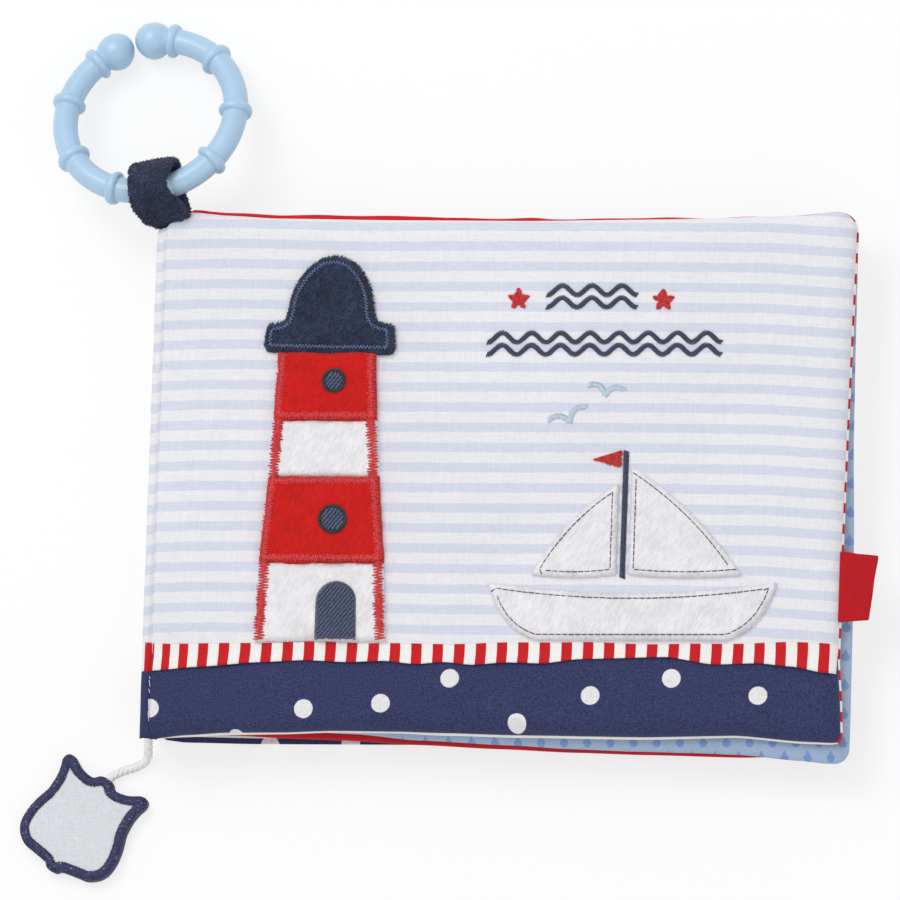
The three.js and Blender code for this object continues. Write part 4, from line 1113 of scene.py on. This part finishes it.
class ALBUM_OT_lighthouse(bpy.types.Operator):
    """Lighthouse: four plush blocks with zigzag edges, a plush lantern dome, embroidered windows
    and door"""

    bl_idname = "album.lighthouse"
    bl_label = "Lighthouse"

    def execute(self, context):
        chance = random.Random(11)
        names = ("lower_white", "lower_red", "upper_white", "upper_red")
        for k, name in enumerate(names):
            red = "red" in name
            lap, thickness = (0.35, 2.2) if red else (-0.25, 1.9)
            low, high = TOWER_LEVELS[k] - lap, TOWER_LEVELS[k + 1] + lap
            edge = tower_side(1, low, high) + tower_side(-1, low, high)[::-1]
            edge = [
                (x + 0.25 * soft_noise(x, y, 4, k), y + 0.35 * soft_noise(x, y, 7, k + 5))
                for x, y in rounded(edge)
            ]
            finish = "red_plush" if red else "white_plush"
            bm = polygon_pad(edge, SEWN, thickness, 1.0, plush_relief)
            sew(f"tower_{name}", bm, finish, (f"lighthouse_{name}_block",))
        bm = polygon_pad(smooth_loop(DOME, 0.7), SEWN, 2.2, 1.2, plush_relief)
        dome = sew("lantern_dome", bm, "navy_plush", ("lighthouse_dome",))
        add_pile(dome, 3600, 0.8, 0.17, Vector((0.5, 0.35, 0.1)), 67,
                 lambda face: face.normal.z > -0.2)
        self.sew_edges(chance)
        for name, centre, radius in (
            ("lower", (-46.8, -12.0), 3.9), ("upper", (-47.8, 27.5), 3.2)
        ):
            self.sew_window(name, centre, radius, chance)
        self.sew_door(chance)
        return {"FINISHED"}

    def sew_edges(self, chance):
        """Zigzags over the white blocks' sides, round the red blocks and inside the dome."""
        bm = bmesh.new()
        for side in (1, -1):
            path = tower_side(side, -46.3, 35.2, 1.5)
            for width, pitch, wander in ((2.9, 0.4, 0.25), (2.2, 0.42, 0.3)):
                zigzag(bm, path, width, pitch, 0.22, level_at(-0.05), chance, wander=wander)
        sew("tower_zigzag", bm, "red_thread")
        paths = []
        for level, inward in ((-24.2, 1), (0.0, -1), (16.5, 1)):
            half = TOWER_HALF(level) - 1.0
            row = level + 1.1 * inward
            paths.append([(TOWER_X - half, row), (TOWER_X + half, row)])
        for low, high in ((-23.4, -0.8), (17.2, 35.0)):
            paths += [tower_side(side, low, high, 1.4) for side in (1, -1)]
        bm = bmesh.new()
        for path in paths:
            zigzag(bm, path, 2.0, 0.34, 0.2, level_at(0.22), chance, wander=0.25)
        sew("red_block_edging", bm, "rose_thread")
        inner = offset_path(smooth_loop(DOME, 0.6), 1.75)
        bm = bmesh.new()
        zigzag(bm, inner, 1.0, 0.46, 0.17, level_at(0.5), chance, True)
        sew("dome_stitching", bm, "dome_thread")

    def sew_window(self, name, centre, radius, chance):
        """Slanting threads, paler threads over them, and a dark ring."""
        bm = bmesh.new()
        fill_rows(bm, lambda u, v: math.hypot(u, v) < radius - 0.5, centre, radius,
                  level_at(0.34), chance, 0.95, 0.5, 1.7, 0.32)
        sew(f"{name}_window", bm, "slate_thread", (f"lighthouse_{name}_window",))
        threads_over(
            f"{name}_window_threads", lambda u, v: math.hypot(u, v) < radius - 0.7, centre,
            radius, level_at(0.56), chance,
        )
        x, y = centre
        turns = [k / 40 * TAU for k in range(40)]
        reach = radius - 0.15
        ring = [(x + reach * math.cos(turn), y + reach * math.sin(turn)) for turn in turns]
        bm = bmesh.new()
        satin(bm, ring, 0.9, 0.34, 0.22, level_at(0.5), chance, 0.3, True)
        sew(f"{name}_window_ring", bm, "ink_thread")

    def sew_door(self, chance):
        """The same threads under an arch, with a dark edge."""
        half, shoulder, reach = 5.2, 2.5, 9.2

        def inside(u, v):
            return abs(u) < half and v > -8.3 and (
                v < shoulder or math.hypot(u, v - shoulder) < half
            )

        bm = bmesh.new()
        fill_rows(bm, inside, DOOR_CENTRE, reach, level_at(0.1), chance, 0.98, 0.52, 1.9, 0.31)
        sew("tower_door", bm, "slate_thread", ("lighthouse_door",))
        threads_over("door_threads", inside, DOOR_CENTRE, reach, level_at(0.32), chance)
        arch = [(-50.4, -46.3), (-50.4, -35.4)]
        arch += [
            (-45.1 - 5.3 * math.cos(k / 16 * math.pi), -35.4 + 5.3 * math.sin(k / 16 * math.pi))
            for k in range(1, 16)
        ]
        arch += [(-39.8, -35.4), (-39.5, -46.3)]
        bm = bmesh.new()
        satin(bm, arch, 0.9, 0.36, 0.17, level_at(0.1), chance, 0.3)
        sew("door_edge", bm, "navy_thread")


def level_at(above):
    """A height for stitches: so far above the lighthouse's blocks, all over."""
    return lambda x, y: BLOCK_TOP + above


def threads_over(name, inside, centre, reach, height, chance):
    """Paler threads over a dark fill, a little apart."""
    bm = bmesh.new()
    fill_rows(bm, inside, centre, reach, height, chance, 0.9, 0.92, 1.1, 0.22)
    sew(name, bm, "steel_thread")


def fill_rows(bm, inside, centre, reach, height, chance, lean, pitch, length, radius=0.25):
    """Slanting rows of thread over an area."""
    along = Vector((math.cos(lean), math.sin(lean)))
    across = Vector((-along.y, along.x))
    limit = reach * 1.5
    rows = int(limit / pitch)
    for row in range(-rows, rows + 1):
        at = -limit + chance.random() * length
        while at < limit:
            pieces = [along * (at + length * k / 8) + across * row * pitch for k in range(9)]
            kept = [p for p in pieces if inside(p.x, p.y)]
            if len(kept) > 2:
                a = kept[0] + Vector(centre)
                b = kept[-1] + Vector(centre)
                add_stitch(bm, a, b, radius, height(a.x, a.y), 0.12)
            at += length


def between_four(p0, p1, p2, p3, steps):
    """Points of a smooth curve from the second of four points towards the third."""
    for n in range(steps):
        t = n / steps
        yield 0.5 * (
            2 * p1 + (p2 - p0) * t + (2 * p0 - 5 * p1 + 4 * p2 - p3) * t * t
            + (3 * p1 - p0 - 3 * p2 + p3) * t * t * t
        )


def smooth_loop(points, step):
    """A closed smooth path through points, at an even step."""
    count = len(points)
    dense = []
    for k in range(count):
        dense += between_four(*(Vector(points[(k + n - 1) % count]) for n in range(4)), 8)
    return [tuple(p) for p, _ in even_path(dense, step, True)]


def smooth_route(points, steps=8):
    """A smooth open path through points in space."""
    places = [Vector(p) for p in points]
    padded = [places[0], *places, places[-1]]
    dense = []
    for k in range(len(places) - 1):
        dense += between_four(*padded[k:k + 4], steps)
    return dense + [places[-1]]


def curve_between(a, bend, b, count=14):
    """Points of a simple bend from one point to another."""
    a, bend, b = Vector(a), Vector(bend), Vector(b)
    return [
        tuple((1 - t) ** 2 * a + 2 * t * (1 - t) * bend + t * t * b)
        for t in (k / count for k in range(count))
    ]


def on_cloth(above):
    """A height for stitches: so far above the striped panel's uneven cloth."""
    return lambda x, y: FACE + above + front_relief(x, y)


# The boat's outlines: corners, each with the point that its side bends towards.
BOAT = {
    "hull": [
        ((12, -46.3), (39, -46.3)), ((66, -46.3), (76.8, -43.1)), ((80, -29.8), (39, -36.2)),
        ((-2, -29.8), (1.2, -43.1)),
    ],
    "mainsail": [
        ((37.8, -27.6), (53.8, -29.3)), ((69.8, -27.6), (57.2, -8.7)), ((37.8, 3.4), (37.8, -12)),
    ],
    "jib": [
        ((34.2, -27.6), (34.2, -14)), ((34.2, -1.6), (18.8, -11.2)), ((10.2, -27.6), (22.2, -29.3)),
    ],
}


class ALBUM_OT_boat(bpy.types.Operator):
    """Sailing boat: a plush hull and two plush sails with running-stitch outlines, a mast and a
    pennant"""

    bl_idname = "album.boat"
    bl_label = "Sailing boat"

    def execute(self, context):
        chance = random.Random(23)
        outlines = bmesh.new()
        for name, bends in BOAT.items():
            path = []
            for (start, bend), (end, _) in zip(bends, bends[1:] + bends[:1]):
                path += curve_between(start, bend, end)
            line = rounded(path, 0.8)
            bm = polygon_pad(line, SEWN, 2.0, 1.0, plush_relief)
            sew(f"boat_{name}_plush", bm, "white_plush", (f"boat_{name}",))
            inner = [
                spot for spot in offset_path(line, 1.5)
                if min(math.dist(spot, edge) for edge in line) > 1.38
            ]
            running_stitch(outlines, inner, 1.5, 0.35, 0.2, lambda x, y: BLOCK_TOP, True)
        sew("boat_outlines", outlines, "navy_thread")
        bm = bmesh.new()
        satin(bm, [(36, -28.4), (36, 7.6)], 1.6, 0.34, 0.2, on_cloth(0.3), chance, 0.35)
        sew("boat_mast_threads", bm, "navy_thread", ("boat_mast",))

        def inside(u, v):
            return -9.4 < u < 0 and abs(v) < 2.7 * (1 + u / 9.5)

        bm = bmesh.new()
        fill_rows(bm, inside, (35.0, 5.3), 8, on_cloth(0.3), chance, 0.3, 0.4, 2.6)
        sew("boat_pennant_threads", bm, "red_thread", ("boat_pennant",))
        return {"FINISHED"}


class ALBUM_OT_embroidery(bpy.types.Operator):
    """Embroidery on the striped panel: two stars, two rows of waves and two gulls"""

    bl_idname = "album.embroidery"
    bl_label = "Embroidery"

    def execute(self, context):
        chance = random.Random(37)
        seat = on_cloth(0.22)
        for name, centre in (("left_star", (3.8, 51.0)), ("right_star", (45.1, 50.7))):
            bm = bmesh.new()
            fill_rows(bm, self.in_star, centre, 4, seat, chance, 0.9, 0.36, 2.2)
            sew(f"{name}_threads", bm, "red_thread", (name,))
        bm = bmesh.new()
        for start, end, level, waves in ((12.0, 37.4, 51.9, 3), (-4.6, 61.9, 38.4, 8)):
            for drop in (1.7, -1.8):
                line = [
                    (start + (end - start) * along,
                     level + drop - 1.35 * math.cos(along * waves * TAU))
                    for along in (k / 160 for k in range(161))
                ]
                satin(bm, line, 1.5, 0.46, 0.27, seat, chance, 0.55)
        sew("wave_rows", bm, "navy_thread")
        bm = bmesh.new()
        for x, y, size, tilt in ((19.6, 16.0, 6.2, 0.35), (29.4, 23.6, 5.6, -0.15)):
            for side in (1, -1):
                wing = curve_between(
                    (0, 0), (side * size * 0.35, size * 0.75), (side * size, size * 0.35)
                )
                turned = [
                    (x + u * math.cos(tilt) - v * math.sin(tilt),
                     y + u * math.sin(tilt) + v * math.cos(tilt)) for u, v in wing
                ]
                satin(bm, turned, 1.7, 0.36, 0.2, seat, chance)
        sew("gulls", bm, "pale_thread")
        return {"FINISHED"}

    @staticmethod
    def in_star(u, v):
        """Whether a place is in a five-pointed star with its point up."""
        size = 3.45
        angle = abs((math.atan2(v, u) - math.pi / 2) % (TAU / 5) - TAU / 10)
        edge = size * 0.5 / (0.5 * math.cos(angle) + 0.62 * math.sin(angle))
        tip = size - 1.75 * (1 - angle / (TAU / 10))
        return math.hypot(u, v) < min(tip, edge + 1.6)


class ALBUM_OT_tab(bpy.types.Operator):
    """Woven tab: a plain band folded over the fore edge"""

    bl_idname = "album.tab"
    bl_label = "Woven tab"

    def execute(self, context):
        right = [(-41, 105.9), (-30, 107.0), (-21, 108.2)]
        tail = [(96, -40.6), (109, -39.9)]
        head = [(96, -20.3), (98.5, -20.4), (103, -21.1), (109, -21.6)]
        corners = corners_of(0.5, 0.5, 0.5, 0.5)
        outline = Outline(97.2, right, tail, head, corners, (0.3, 0.6, 0.3, 0.3))
        piece = sew(
            "edge_tab", pillow(outline, 17.95, 18.35, 18.75, 0.8, self.ribs), "tab",
            ("woven_tab",),
        )
        bm = bmesh.new()
        for low, high in ((-39.7, -39.2), (-20.6, -22.3)):
            running_stitch(bm, [(99.0, low), (105.4, high)], 0.9, 0.4, 0.1, lambda x, y: 18.82)
        sew("tab_stitching", bm, "red_thread")
        return {"FINISHED"}

    @staticmethod
    def ribs(x, y):
        return 0.1 * soft_noise(x, y, 5, 2.2)


RING_RADIUS = 24.75
RING_CENTRE = Vector((-104.8, 105.25, 13.898))
COLLARS = [134.5, 169, 212.6, 252, 287, 322, 361.7, 406.2, 440.5]


def polar(degrees):
    """A flat direction at an angle."""
    return Vector((math.cos(math.radians(degrees)), math.sin(math.radians(degrees)), 0))


def ring_turn():
    """How the ring leans on the album's corner."""
    return Matrix.Rotation(math.radians(20.2), 3, polar(-77).cross(Vector((0, 0, 1))))


def ring_place(degrees):
    """The middle of the ring's tube at an angle."""
    return RING_CENTRE + ring_turn() @ (polar(degrees) * RING_RADIUS)


def draw_tube(bm, sides, sections, squareness=(1.0, 1.0)):
    """A closed tube: at each section its middle and the two half axes."""
    turns = [k / sides * TAU for k in range(sides)]
    flats = [
        [math.copysign(abs(c) ** power, c) for c, power in zip(spot, squareness)]
        for spot in ((-math.sin(turn), math.cos(turn)) for turn in turns)
    ]
    rings = [
        [bm.verts.new(middle + wide * x + thick * y) for x, y in flats]
        for middle, wide, thick in sections
    ]
    for near, far in zip(rings, rings[1:]):
        for k in range(sides):
            bm.faces.new((near[k], near[k - 1], far[k - 1], far[k]))
    bm.faces.new(rings[0])
    bm.faces.new(rings[-1])
    bmesh.ops.recalc_face_normals(bm, faces=bm.faces)


def ring_profile():
    """Angle and radius at each station: ball ends, waisted necks and soft collars."""
    per_mm = 180 / (math.pi * RING_RADIUS)
    start, end, tube, ball = 120.3, 454.3, 3.5, 5.3
    neck = math.asin(tube / ball)
    stations = []
    for k in range(1, 15):
        angle = -math.pi + k / 14 * (math.pi - neck)
        stations.append((start + ball * math.cos(angle) * per_mm, -ball * math.sin(angle)))
        stations.append((end - ball * math.cos(angle) * per_mm, -ball * math.sin(angle)))
    first = start + ball * math.cos(neck) * per_mm + 1.0
    last = end - ball * math.cos(neck) * per_mm - 1.0
    angle = first
    while angle < last:
        radius = tube
        for collar in COLLARS:
            off = abs(angle - collar) / per_mm
            if off < 1.9:
                bead = 3.45 + 1.35 * math.sqrt(max(0.0, 1 - (off / 1.42) ** 2))
                skirt = tube + 0.35 * ((1.9 - off) / 0.9) ** 2 if off > 1.0 else tube
                radius = max(radius, bead, skirt)
        stations.append((angle, radius))
        angle += 0.4
    return sorted(stations)


class ALBUM_OT_ring(bpy.types.Operator):
    """Plastic hanging ring: a ribbed tube with two ball ends"""

    bl_idname = "album.ring"
    bl_label = "Hanging ring"

    def execute(self, context):
        turn = ring_turn()
        upward = turn @ Vector((0, 0, 1))
        sections = []
        for degrees, radius in ring_profile():
            outward = turn @ polar(degrees)
            middle = RING_CENTRE + outward * RING_RADIUS
            sections.append((middle, outward * radius, upward * radius))
        bm = bmesh.new()
        draw_tube(bm, sizes().ring_sides, sections)
        settle("plastic_ring", bm, "ring", "ring", ("hanging_ring",))
        return {"FINISHED"}


def loop_band():
    """Middle line of the loop's band: across from the ring's tube towards the album, up, half
    width and how far the band slides along the tube."""
    stations = [
        (10.0, -12.8, 3.8, 3.6), (9.4, -8.5, 4.8, 3.0), (8.8, -4.6, 6.0, 2.6),
        (7.8, -1.2, 6.9, 1.9),
    ]
    half = between([(38, 6.4), (60, 5.7), (95, 5.7), (125, 6.5), (165, 7.0), (275, 6.4)])
    slide = between([(38, -0.5), (60, -1.3), (95, -1.2), (125, -0.2), (165, 0.5), (275, 1.0)])
    for k in range(17):
        degrees = 38 + k / 16 * 236
        angle = math.radians(degrees)
        stations.append((
            -0.6 + 6.75 * math.cos(angle), 6.2 * math.sin(angle), half(degrees), slide(degrees)
        ))
    return stations + [(4.6, -6.9, 6.2, 1.5), (7.4, -9.4, 5.0, 2.4), (9.8, -13.2, 4.0, 3.4)]


BAND_STEPS = 3


def direction_at(route, n):
    """Which way a route goes at one of its points."""
    return (route[min(n + 1, len(route) - 1)] - route[max(n - 1, 0)]).normalized()


class ALBUM_OT_loop(bpy.types.Operator):
    """Plush hanging loop: a band round the ring, its ends sewn into the cut corner"""

    bl_idname = "album.loop"
    bl_label = "Hanging loop"

    def execute(self, context):
        eye = ring_place(280)
        tangent = (ring_turn() @ polar(280 + 90)).normalized()
        out = tangent.cross(Vector((0, 0, 1))).normalized()
        upward = out.cross(tangent)
        if upward.z < 0:
            upward.negate()
        places = []
        halves = []
        for across, up, half, slide in loop_band():
            places.append(eye + out * across + upward * up + tangent * slide)
            halves += [half] * BAND_STEPS
        smooth = smooth_route(places, BAND_STEPS)
        half_thickness = 1.15
        sections = []
        for n, middle in enumerate(smooth):
            ahead = direction_at(smooth, n)
            wide = (tangent - ahead * tangent.dot(ahead)).normalized()
            sections.append((middle, wide * halves[n], ahead.cross(wide) * half_thickness))
        bm = bmesh.new()
        draw_tube(bm, 20, sections, (0.7, 0.9))
        piece = settle(
            "plush_loop", bm, "navy_plush", None,
            ("hanging_loop_eye", "hanging_loop_tail"),
        )
        remesh = piece.modifiers.new("fuse", "REMESH")
        remesh.mode = "VOXEL"
        remesh.voxel_size = 0.0005
        relax = piece.modifiers.new("relax", "SMOOTH")
        relax.factor = 0.5
        relax.iterations = 6
        apply_modifiers(piece)
        clear_bore(piece, eye, tangent)
        add_pile(piece, 7200, 0.8, 0.17, Vector((0.35, -0.85, 0.1)), 71)
        tuple((eye + out * 9.2 - upward * 6) * MM)
        tuple((eye + out * 4.5 - upward * 1.5) * MM)
        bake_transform(piece)
        return {"FINISHED"}


# How many tufts are drawn at once: more than this and bmesh slows down.
BATCH = 90


def add_pile(piece, count, length, width, lay, seed, keep=None):
    """Short tufts of pile all over a piece, lying one way."""
    chance = random.Random(seed)
    bm = bmesh.new()
    bm.from_mesh(piece.data)
    faces = [face for face in bm.faces if keep is None or keep(face)]
    areas = [face.calc_area() for face in faces]
    spots = []
    for face in chance.choices(faces, weights=areas, k=count):
        corner, second, third = [vert.co for vert in face.verts][:3]
        a, b = chance.random(), chance.random()
        if a + b > 1:
            a, b = 1 - a, 1 - b
        spots.append((corner + (second - corner) * a + (third - corner) * b, face.normal.copy()))
    lay = lay.normalized() * 0.75
    batch = bpy.data.meshes.new("tufts")
    for start in range(0, len(spots), BATCH):
        tufts = bmesh.new()
        for spot, normal in spots[start:start + BATCH]:
            wild = Vector((chance.gauss(0, 0.28), chance.gauss(0, 0.28), chance.gauss(0, 0.2)))
            way = (normal * 0.55 + lay + wild).normalized()
            reach = length * MM * (0.6 + 0.6 * chance.random())
            bmesh.ops.create_cone(
                tufts, cap_ends=True, segments=3, radius1=width * MM,
                radius2=width * 0.25 * MM, depth=reach,
                matrix=Matrix.Translation(spot + way * reach * 0.38)
                @ way.to_track_quat("Z", "Y").to_matrix().to_4x4(),
            )
        tufts.to_mesh(batch)
        tufts.free()
        bm.from_mesh(batch)
    bpy.data.meshes.remove(batch)
    for face in bm.faces:
        face.smooth = True
    bm.to_mesh(piece.data)
    bm.free()


def apply_modifiers(piece):
    """Leaves the mesh as its modifiers shape it, and removes them."""
    graph = bpy.context.evaluated_depsgraph_get()
    shaped = bpy.data.meshes.new_from_object(piece.evaluated_get(graph))
    old = piece.data
    piece.modifiers.clear()
    piece.data = shaped
    bpy.data.meshes.remove(old)
    for polygon in piece.data.polygons:
        polygon.use_smooth = True


def clear_bore(piece, eye, tangent):
    """Ruffles the nap, and keeps it clear of the ring's tube."""
    clear, ruffled, reach = 4.9, 6.2, 9

    def around(point):
        off = point - eye
        along = off.dot(tangent)
        return along, off - tangent * along

    for vert in piece.data.vertices:
        point = vert.co / MM
        along, radial = around(point)
        if radial.length > ruffled:
            ruffle = 0.25 * noise.noise(point * 0.5) + 0.1 * noise.noise(point * 1.6)
            point = point + vert.normal * ruffle
            along, radial = around(point)
        if abs(along) < reach and radial.length < clear:
            point = eye + tangent * along + radial.normalized() * clear
        vert.co = point * MM


CORD_ROUTE = [
    (-100.4, -71.2, 6.8), (-100.5, -73.6, 5.6), (-100.7, -75.0, 4.4), (-101.0, -76.3, 3.0),
    (-102.2, -77.9, 2.0), (-104.9, -79.2, 1.6), (-108.4, -80.3, 1.6), (-111.4, -82.0, 2.0),
    (-113.4, -85.0, 2.2), (-115.6, -89.0, 2.2), (-118.0, -93.2, 2.2),
]
SHIELD = [
    (0, 15.7), (2.0, 15.3), (3.9, 13.8), (8.0, 14.4), (11.7, 16.3), (13.7, 16.0), (14.3, 14.3),
    (13.6, 12.0), (13.1, 8.6), (13.4, 4.3), (14.6, 0.6), (15.4, -3.7), (15.1, -8),
    (13.4, -10.8), (10.8, -12.6), (8, -13.1), (2.9, -14), (1.7, -15.1), (0, -15.4),
]
BADGE_CENTRE = (-120.1, -95.9)
STRANDS = 4


def shield_path(scale=0.965, step=0.5):
    """The badge's outline, counter-clockwise, at its place."""
    whole = [(-x, y) for x, y in SHIELD] + [(x, y) for x, y in SHIELD[-2:0:-1]]
    lean = math.radians(-30)
    return [
        (BADGE_CENTRE[0] + scale * (x * math.cos(lean) - y * math.sin(lean)),
         BADGE_CENTRE[1] + scale * (x * math.sin(lean) + y * math.cos(lean)))
        for x, y in smooth_loop(whole, step)
    ]


class ALBUM_OT_badge(bpy.types.Operator):
    """Shield badge with a dense border, on a short cord of four twisted strands"""

    bl_idname = "album.badge"
    bl_label = "Badge and cord"

    def execute(self, context):
        route = smooth_route(CORD_ROUTE)
        bm = bmesh.new()
        for strand in range(STRANDS):
            self.twist(bm, route, strand / STRANDS * TAU)
        cord = settle("badge_cord_strands", bm, "cord", "badge", ("badge_cord",))
        outline = shield_path()
        for name, inset, base, height, roll, finish, slot, node in (
            ("badge_backing", 0.35, 0.0, 2.3, 0.5, "badge_back", "badge_border", "badge_back"),
            ("badge_satin_face", 1.2, 2.2, 1.5, 0.6, "badge_face", "badge_face", "badge_face"),
        ):
            pad = polygon_pad(offset_path(outline, inset), base, height, roll)
            settle(name, pad, finish, "badge", (node,))
        border = settle(
            "badge_stitched_border", self.sew_border(outline), "badge_border", "badge",
            ("badge_border",),
        )
        [tuple(p * MM) for p in route]
        return {"FINISHED"}

    @staticmethod
    def sew_border(outline):
        """Rows of satin stitch: over the border, over its brink and down its side."""
        chance = random.Random(51)
        bm = bmesh.new()
        rows = [(1.25, 2.5, 0.3, 3.75, 0.15), (0.25, 0.8, 0.32, 3.3, 0.1)]
        rows += [(0.12, 0.7, 0.34, height, 0.1) for height in (2.75, 2.2, 1.65, 1.1)]
        for inset, width, radius, height, lean in rows:
            satin(bm, offset_path(outline, inset), width, 0.34, radius,
                  lambda x, y, level=height: level, chance, lean, True)
        return bm

    @staticmethod
    def length(route):
        return sum((b - a).length for a, b in zip(route, route[1:]))

    @staticmethod
    def twist(bm, route, start):
        """One strand, wound round the route."""
        radius, reach, pitch = 0.72, 0.62, 6.2
        sections = []
        walked = 0.0
        for n, point in enumerate(route):
            ahead = direction_at(route, n)
            if n:
                walked += (point - route[n - 1]).length
            side = ahead.cross(Vector((0, 0, 1))).normalized()
            upward = side.cross(ahead)
            angle = start + walked / pitch * TAU
            middle = point + side * reach * math.cos(angle) + upward * reach * math.sin(angle)
            sections.append((middle, side * radius, upward * radius))
        draw_tube(bm, 8, sections)


class ALBUM_OT_pockets(bpy.types.Operator):
    """Clear film on the photo pockets"""

    bl_idname = "album.pockets"
    bl_label = "Photo pockets"

    def execute(self, context):
        for name, piece in bpy.data.objects.items():
            if name.endswith("_pocket"):
                piece.data.materials.clear()
                piece.data.materials.append(finish_of("film"))
        return {"FINISHED"}


class ALBUM_OT_stage(bpy.types.Operator):
    """Pale floor, soft studio lights and the camera"""

    bl_idname = "album.stage"
    bl_label = "Stage"

    def execute(self, context):
        context.scene.view_settings.view_transform = "Standard"
        settings = context.scene.album_stage
        self.lay_floor()
        self.light("key", settings.key_power, 0.9, (-0.55, 0.65, 1.25))
        self.light("fill", settings.fill_power, 1.2, (0.8, -0.6, 1.2))
        self.light_world()
        self.aim(settings)
        return {"FINISHED"}

    @staticmethod
    def lay_floor():
        bm = bmesh.new()
        bmesh.ops.create_grid(bm, x_segments=2, y_segments=2, size=3)
        mesh = bpy.data.meshes.new("floor")
        bm.to_mesh(mesh)
        bm.free()
        floor = bpy.data.objects.new("floor", mesh)
        bpy.context.scene.collection.objects.link(floor)
        skin = Surface("floor_white", 0.9, 0, 0.1)
        skin.set("Base Color", (0.97, 0.97, 0.97, 1))
        glow = skin.nodes.new("ShaderNodeEmission")
        glow.inputs["Color"].default_value = (1, 1, 1, 1)
        seen = skin.nodes.new("ShaderNodeLightPath")
        share = Value(skin, seen.outputs["Is Camera Ray"]) * 0.72
        both = skin.nodes.new("ShaderNodeMixShader")
        skin.feed(both.inputs[0], share)
        skin.links.new(skin.shader.outputs[0], both.inputs[1])
        skin.links.new(glow.outputs[0], both.inputs[2])
        skin.links.new(both.outputs[0], skin.nodes["Material Output"].inputs["Surface"])
        mesh.materials.append(skin.material)

    @staticmethod
    def light(name, power, size, place):
        lamp = bpy.data.lights.new(name, "AREA")
        lamp.energy = power
        lamp.size = size
        light = bpy.data.objects.new(name, lamp)
        light.location = place
        light.rotation_euler = (-Vector(place)).to_track_quat("-Z", "Y").to_euler()
        bpy.context.scene.collection.objects.link(light)

    @staticmethod
    def light_world():
        world = bpy.data.worlds.new("studio")
        bpy.context.scene.world = world
        world.use_nodes = True
        background = world.node_tree.nodes["Background"]
        background.inputs["Color"].default_value = (1, 1, 1, 1)
        background.inputs["Strength"].default_value = 0.62

    @staticmethod
    def aim(settings):
        """The photograph's view: from almost straight above."""
        towards = Vector((0.183, -0.183, 0.966)).normalized()
        right = (Vector((1, 0, 0)) - towards * towards.x).normalized()
        target = Vector((-0.0143, 0.008, 0.021))
        place = target + towards * settings.lens_distance
        data = bpy.data.cameras.new("photograph")
        data.sensor_width = 36
        data.lens = data.sensor_width * settings.lens_distance / settings.frame_width
        data.clip_end = 30
        camera = bpy.data.objects.new("photograph", data)
        turn = Matrix((right, towards.cross(right), towards)).transposed().to_4x4()
        camera.matrix_world = Matrix.Translation(place) @ turn
        bpy.context.scene.collection.objects.link(camera)
        bpy.context.scene.camera = camera


class ALBUM_PT_panel(bpy.types.Panel):
    """The album's pieces, sizes and colours"""

    bl_idname = "ALBUM_PT_panel"
    bl_label = "Album"
    bl_space_type = "VIEW_3D"
    bl_region_type = "UI"
    bl_category = "Album"

    def draw(self, context):
        for group in ("album_sizes", "album_colours", "album_stage"):
            box = self.layout.box()
            settings = getattr(context.scene, group)
            for name in settings.__annotations__:
                box.prop(settings, name)
        for operator in OPERATORS:
            self.layout.operator(operator.bl_idname)


GROUPS = (AlbumColours, AlbumSizes, AlbumStage)
OPERATORS = (
    ALBUM_OT_stage,
    ALBUM_OT_badge,
    ALBUM_OT_front_cover,
    ALBUM_OT_back_cover,
    ALBUM_OT_spine,
    ALBUM_OT_leaves,
    ALBUM_OT_lighthouse,
    ALBUM_OT_boat,
    ALBUM_OT_embroidery,
    ALBUM_OT_tab,
    ALBUM_OT_ring,
    ALBUM_OT_loop,
    ALBUM_OT_pockets,
)


def register():
    for item in (*GROUPS, *OPERATORS, ALBUM_PT_panel):
        bpy.utils.register_class(item)
    bpy.types.Scene.album_colours = PointerProperty(type=AlbumColours)
    bpy.types.Scene.album_sizes = PointerProperty(type=AlbumSizes)
    bpy.types.Scene.album_stage = PointerProperty(type=AlbumStage)


def unregister():
    for group in ("album_stage", "album_sizes", "album_colours"):
        delattr(bpy.types.Scene, group)
    for item in reversed((*GROUPS, *OPERATORS, ALBUM_PT_panel)):
        bpy.utils.unregister_class(item)


def main():
    register()
    for operator in OPERATORS:
        _, name = operator.bl_idname.split(".")
        getattr(bpy.ops.album, name)()


if __name__ == "__main__":
    main()
